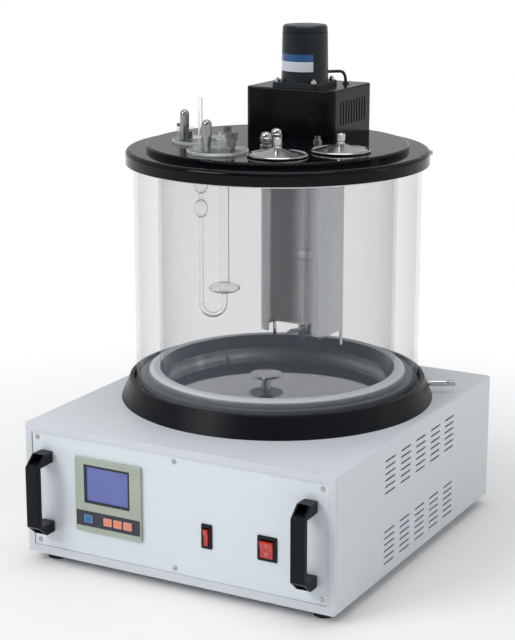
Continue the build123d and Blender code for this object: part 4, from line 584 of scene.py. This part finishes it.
class BATH_OT_jar(bpy.types.Operator):
    """Base ring, glasses, pan, seals and the steel inside the bath."""

    bl_idname = "bath.jar"
    bl_label = "Jar"

    def execute(self, context):
        s = settings("bath_jar")
        dress(plastic_finish("ring_lacquer", s.ring, 0.32, 0.00004, 900.0, 0.16), "base_ring")
        dress(glass_finish("jar_glass", s.glass, 0.035, 0.24, 3.4, 0.04, 0.03), "outer_glass")
        dress(glass_finish("inner_jar_glass", shade(s.glass, 0.97), 0.045, 0.26, 3.2, 0.05, 0.03),
              "inner_glass")
        f = Finish("gasket_rubber")
        x, y, z = f.axes()
        # Past GASKET_SHOULDER_R the white top turns to the seal's grey: painted shade, standing for the
        # ring's outer side in shade.
        shoulder = ((x ** 2.0 + (y - JAR_Y * MM) ** 2.0) ** 0.5 - GASKET_SHOULDER_R * MM) / (1.4 * MM)
        smudge = f.noise(45.0, 3.0)
        white = f.mix(smudge, shade(s.gasket, 0.93), shade(s.gasket, 1.04))
        f.set(Base_Color=f.mix(shoulder.clamp(), white, shade(s.seal, 1.1)), Roughness=smudge * 0.12 + 0.36)
        dress(f.bump(f.noise(700.0, 2.0), 0.0001, 0.3).material, "white_gasket")
        dress(rubber_finish("seal_rubber", s.seal, 0.5), "seal_rings")
        dress(steel_finish("cap_steel", s.steel, 0.16, (1.0, 1.0, 1.0), 160.0, 0.00004), "floor_cap")
        f = Finish("pan_steel")
        x, y, z = f.axes()
        # The pan's walls get a darker copy of the floor's steel: painted shade on the walls.
        wall = (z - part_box("bath_pan")[0][2] - 2.5 * MM) / (5.0 * MM)
        swirl = f.noise(9.0, 3.0, 0.6)
        floor = f.mix(swirl, shade(s.steel, 0.70), shade(s.steel, 1.15))
        f.set(Base_Color=f.mix(wall.clamp(), floor, shade(s.steel, 0.34)), Metallic=1.0,
              Roughness=swirl * 0.06 + 0.03)
        dress(f.bump(swirl, 0.0008, 0.25).material, "bath_pan")

        f = Finish("shroud_steel")
        x, y, z = f.axes()
        low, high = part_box("shroud")
        side = (x - low[0]) / (high[0] - low[0])
        streak_and_painted_band = f.noise(60.0, 2.0, 0.5, (1.0, 1.0, 0.015))
        # Painted reflection: the steel is painted dark round 40 % of its width and in upright bands,
        # standing for the dark things it mirrors.
        tint = (side - 0.40).apply("ABSOLUTE") * 3.4 - 0.60 + (streak_and_painted_band - 0.5) * 1.9
        # The painted dark tone, partly heat stain, runs from brownish low down to bluish higher up.
        stain_and_painted_reflection = f.mix((z - 0.25) * 2.5, (0.090, 0.075, 0.072), (0.105, 0.105, 0.115))
        f.set(Base_Color=f.mix(tint.clamp(), stain_and_painted_reflection, shade(s.steel, 0.85)), Metallic=1.0,
              Roughness=streak_and_painted_band * 0.05 + 0.04)
        dress(f.bump(streak_and_painted_band, 0.0002, 0.2).material, "shroud")
        dress(steel_finish("tube_steel", s.steel, 0.16),
              "heater", "temperature_sensor", "stirrer_shaft", "propeller", "shaft_coupling", "drain_pipe")
        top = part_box("outer_glass")[1][2] - 3.0 * MM
        low = top - s.seal_line
        for name, inner, outer in SEAL_LINES:
            profile = [(inner * MM, low), ((outer - 0.5) * MM, low), (outer * MM, low + 0.6 * MM),
                       (outer * MM, top), (inner * MM, top), (inner * MM, low)]
            keep(spun(profile, (0.0, JAR_Y * MM), steps=128), name,
                 rubber_finish(name + "_rubber", (0.80, 0.83, 0.86), 0.35), "bath", 40)
        return {"FINISHED"}


class BATH_OT_lid(bpy.types.Operator):
    """Gloss lid, cone lids, knobs and plugs."""

    bl_idname = "bath.lid"
    bl_label = "Lid"

    def execute(self, context):
        s = settings("bath_lid")
        dress(gloss_finish("lid_lacquer", s.gloss, 0.02), "lid_ring", "lid_disc")
        satin = shade(settings("bath_jar").steel, 0.92)
        spun_steel = steel_finish("spun_steel", satin, 0.20, (1.0, 1.0, 1.0), 30.0, 0.00001)
        dress(spun_steel, "cone_lid_right", "cone_lid_front")
        dress(steel_finish("plug_nickel", s.nickel, 0.18), "dome_plugs", "lid_knob_right", "lid_knob_front")
        return {"FINISHED"}


class BATH_OT_drive(bpy.types.Operator):
    """Motor housing, flange, motor and its plain label."""

    bl_idname = "bath.drive"
    bl_label = "Stirrer drive"

    def execute(self, context):
        s = settings("bath_lid")
        dress(gloss_finish("housing_lacquer", s.gloss, 0.16), "motor_housing")
        dress(plastic_finish("motor_paint", s.slate, 0.30, 0.00005, spec=0.28), "motor", "motor_flange")

        f = Finish("label_film")
        x, y, z = f.axes()
        upper = z > LABEL_SPLIT_Z * MM
        edge = (z - LABEL_SPLIT_Z * MM).apply("ABSOLUTE") < 0.5 * MM
        tone = f.noise(80.0, 2.0)
        pale = f.mix(tone, (0.52, 0.57, 0.63), (0.60, 0.64, 0.69))
        field = f.mix(upper, pale, f.mix(tone, shade(s.label_blue, 0.9), s.label_blue))
        f.set(Base_Color=f.mix(edge, field, (0.7, 0.74, 0.8)), Roughness=tone * 0.1 + 0.25, Coat_Weight=0.4,
              Coat_Roughness=0.1)
        depth, skin = 0.5, 0.14
        low, high = LABEL_Z
        corners = [(MOTOR_FOOT_R - MOTOR_TAPER * (height - MOTOR_FOOT_Z) + skin - step, height)
                   for height, step in ((low, 0), (high, 0), (high, depth), (low, depth))]
        profile = [(radius * MM, height * MM) for radius, height in (*corners, corners[0])]
        bm = spun(profile, [v * MM for v in MOTOR_AXIS], s.label_turn, math.radians(-152), 40)
        bmesh.ops.holes_fill(bm, edges=bm.edges[:], sides=6)
        keep(bm, "motor_label", f.material, "bath", 30)
        return {"FINISHED"}


class BATH_OT_holders(bpy.types.Operator):
    """Clear holder discs, clamp blocks, lifting handles and thumb screws."""

    bl_idname = "bath.holders"
    bl_label = "Holders"

    def execute(self, context):
        s = settings("bath_lid")
        for name, (x0, y0) in HOLDER_SPOTS:
            f = Finish(name + "_acrylic")
            x, y, z = f.axes()
            reach = ((x - x0 * MM) ** 2.0 + (y - y0 * MM) ** 2.0) ** 0.5
            # Past HOLDER_RIM_R the disc is paler and more opaque: a painted highlight along its edge.
            rim = reach > HOLDER_RIM_R * MM
            facing = f.node("ShaderNodeLayerWeight", inputs={"Blend": 0.5}, output="Facing")
            tone = f.noise(30.0, 2.0)
            cover = rim * 0.40 + facing ** 3.0 * 0.25 + 0.08 + tone * 0.04
            f.set(Base_Color=f.mix(rim, (0.50, 0.53, 0.55), (0.80, 0.84, 0.86)), Roughness=rim * 0.30 + 0.05,
                  Alpha=cover.apply("MINIMUM", 1.0))
            dress(f.material, name)
        dress(glass_finish("block_acrylic", (0.78, 0.80, 0.81), 0.16, 0.45, 2.2, 0.10, 0.06), "clamp_blocks")
        dress(steel_finish("handle_steel", shade(settings("bath_jar").steel, 0.60), 0.24),
              "lift_handles")
        dress(steel_finish("knurled_nickel", s.knurl, 0.30), "thumb_screws")
        return {"FINISHED"}


class BATH_OT_viscometer(bpy.types.Operator):
    """Drawn glass of the viscometer."""

    bl_idname = "bath.viscometer"
    bl_label = "Viscometer"

    def execute(self, context):
        f = Finish("drawn_glass")
        ripple = f.noise(30.0, 1.0, 0.5, (1.0, 1.0, 0.15))
        f.set(Base_Color=f.mix(ripple, (0.96, 0.975, 0.98), (1.0, 1.0, 1.0)), Roughness=ripple * 0.02,
              Transmission_Weight=1.0, IOR=1.47)
        dress(f.bump(ripple, 0.00001, 0.05).material, "viscometer")
        return {"FINISHED"}


OPERATORS = (BATH_OT_stage, BATH_OT_lead, BATH_OT_cabinet, BATH_OT_controller, BATH_OT_switches,
             BATH_OT_jar, BATH_OT_lid, BATH_OT_drive, BATH_OT_holders, BATH_OT_viscometer)


class BATH_PT_panel(bpy.types.Panel):
    """Buttons and settings of the viscosity bath."""

    bl_idname = "BATH_PT_panel"
    bl_label = "Viscosity bath"
    bl_space_type = "VIEW_3D"
    bl_region_type = "UI"
    bl_category = "Bath"

    def draw(self, context):
        for name in ("bath_cabinet", "bath_control", "bath_jar", "bath_lid"):
            group = settings(name)
            box = self.layout.box()
            for key in group.__annotations__:
                box.prop(group, key)
        for operator in OPERATORS:
            self.layout.operator(operator.bl_idname)


GROUPS = (("bath_cabinet", BathCabinetSettings), ("bath_control", BathControlSettings),
          ("bath_jar", BathJarSettings), ("bath_lid", BathLidSettings))


def register():
    """Registers the classes and hangs the settings on the scene."""
    for name, group in GROUPS:
        bpy.utils.register_class(group)
        setattr(bpy.types.Scene, name, PointerProperty(type=group))
    for item in (*OPERATORS, BATH_PT_panel):
        bpy.utils.register_class(item)


def unregister():
    """Takes back what register added."""
    for item in reversed((*OPERATORS, BATH_PT_panel)):
        bpy.utils.unregister_class(item)
    for name, group in reversed(GROUPS):
        delattr(bpy.types.Scene, name)
        bpy.utils.unregister_class(group)


def main():
    """Builds the whole scene."""
    register()
    for operator in OPERATORS:
        area, action = operator.bl_idname.split(".")
        getattr(getattr(bpy.ops, area), action)()


if __name__ == "__main__":
    main()
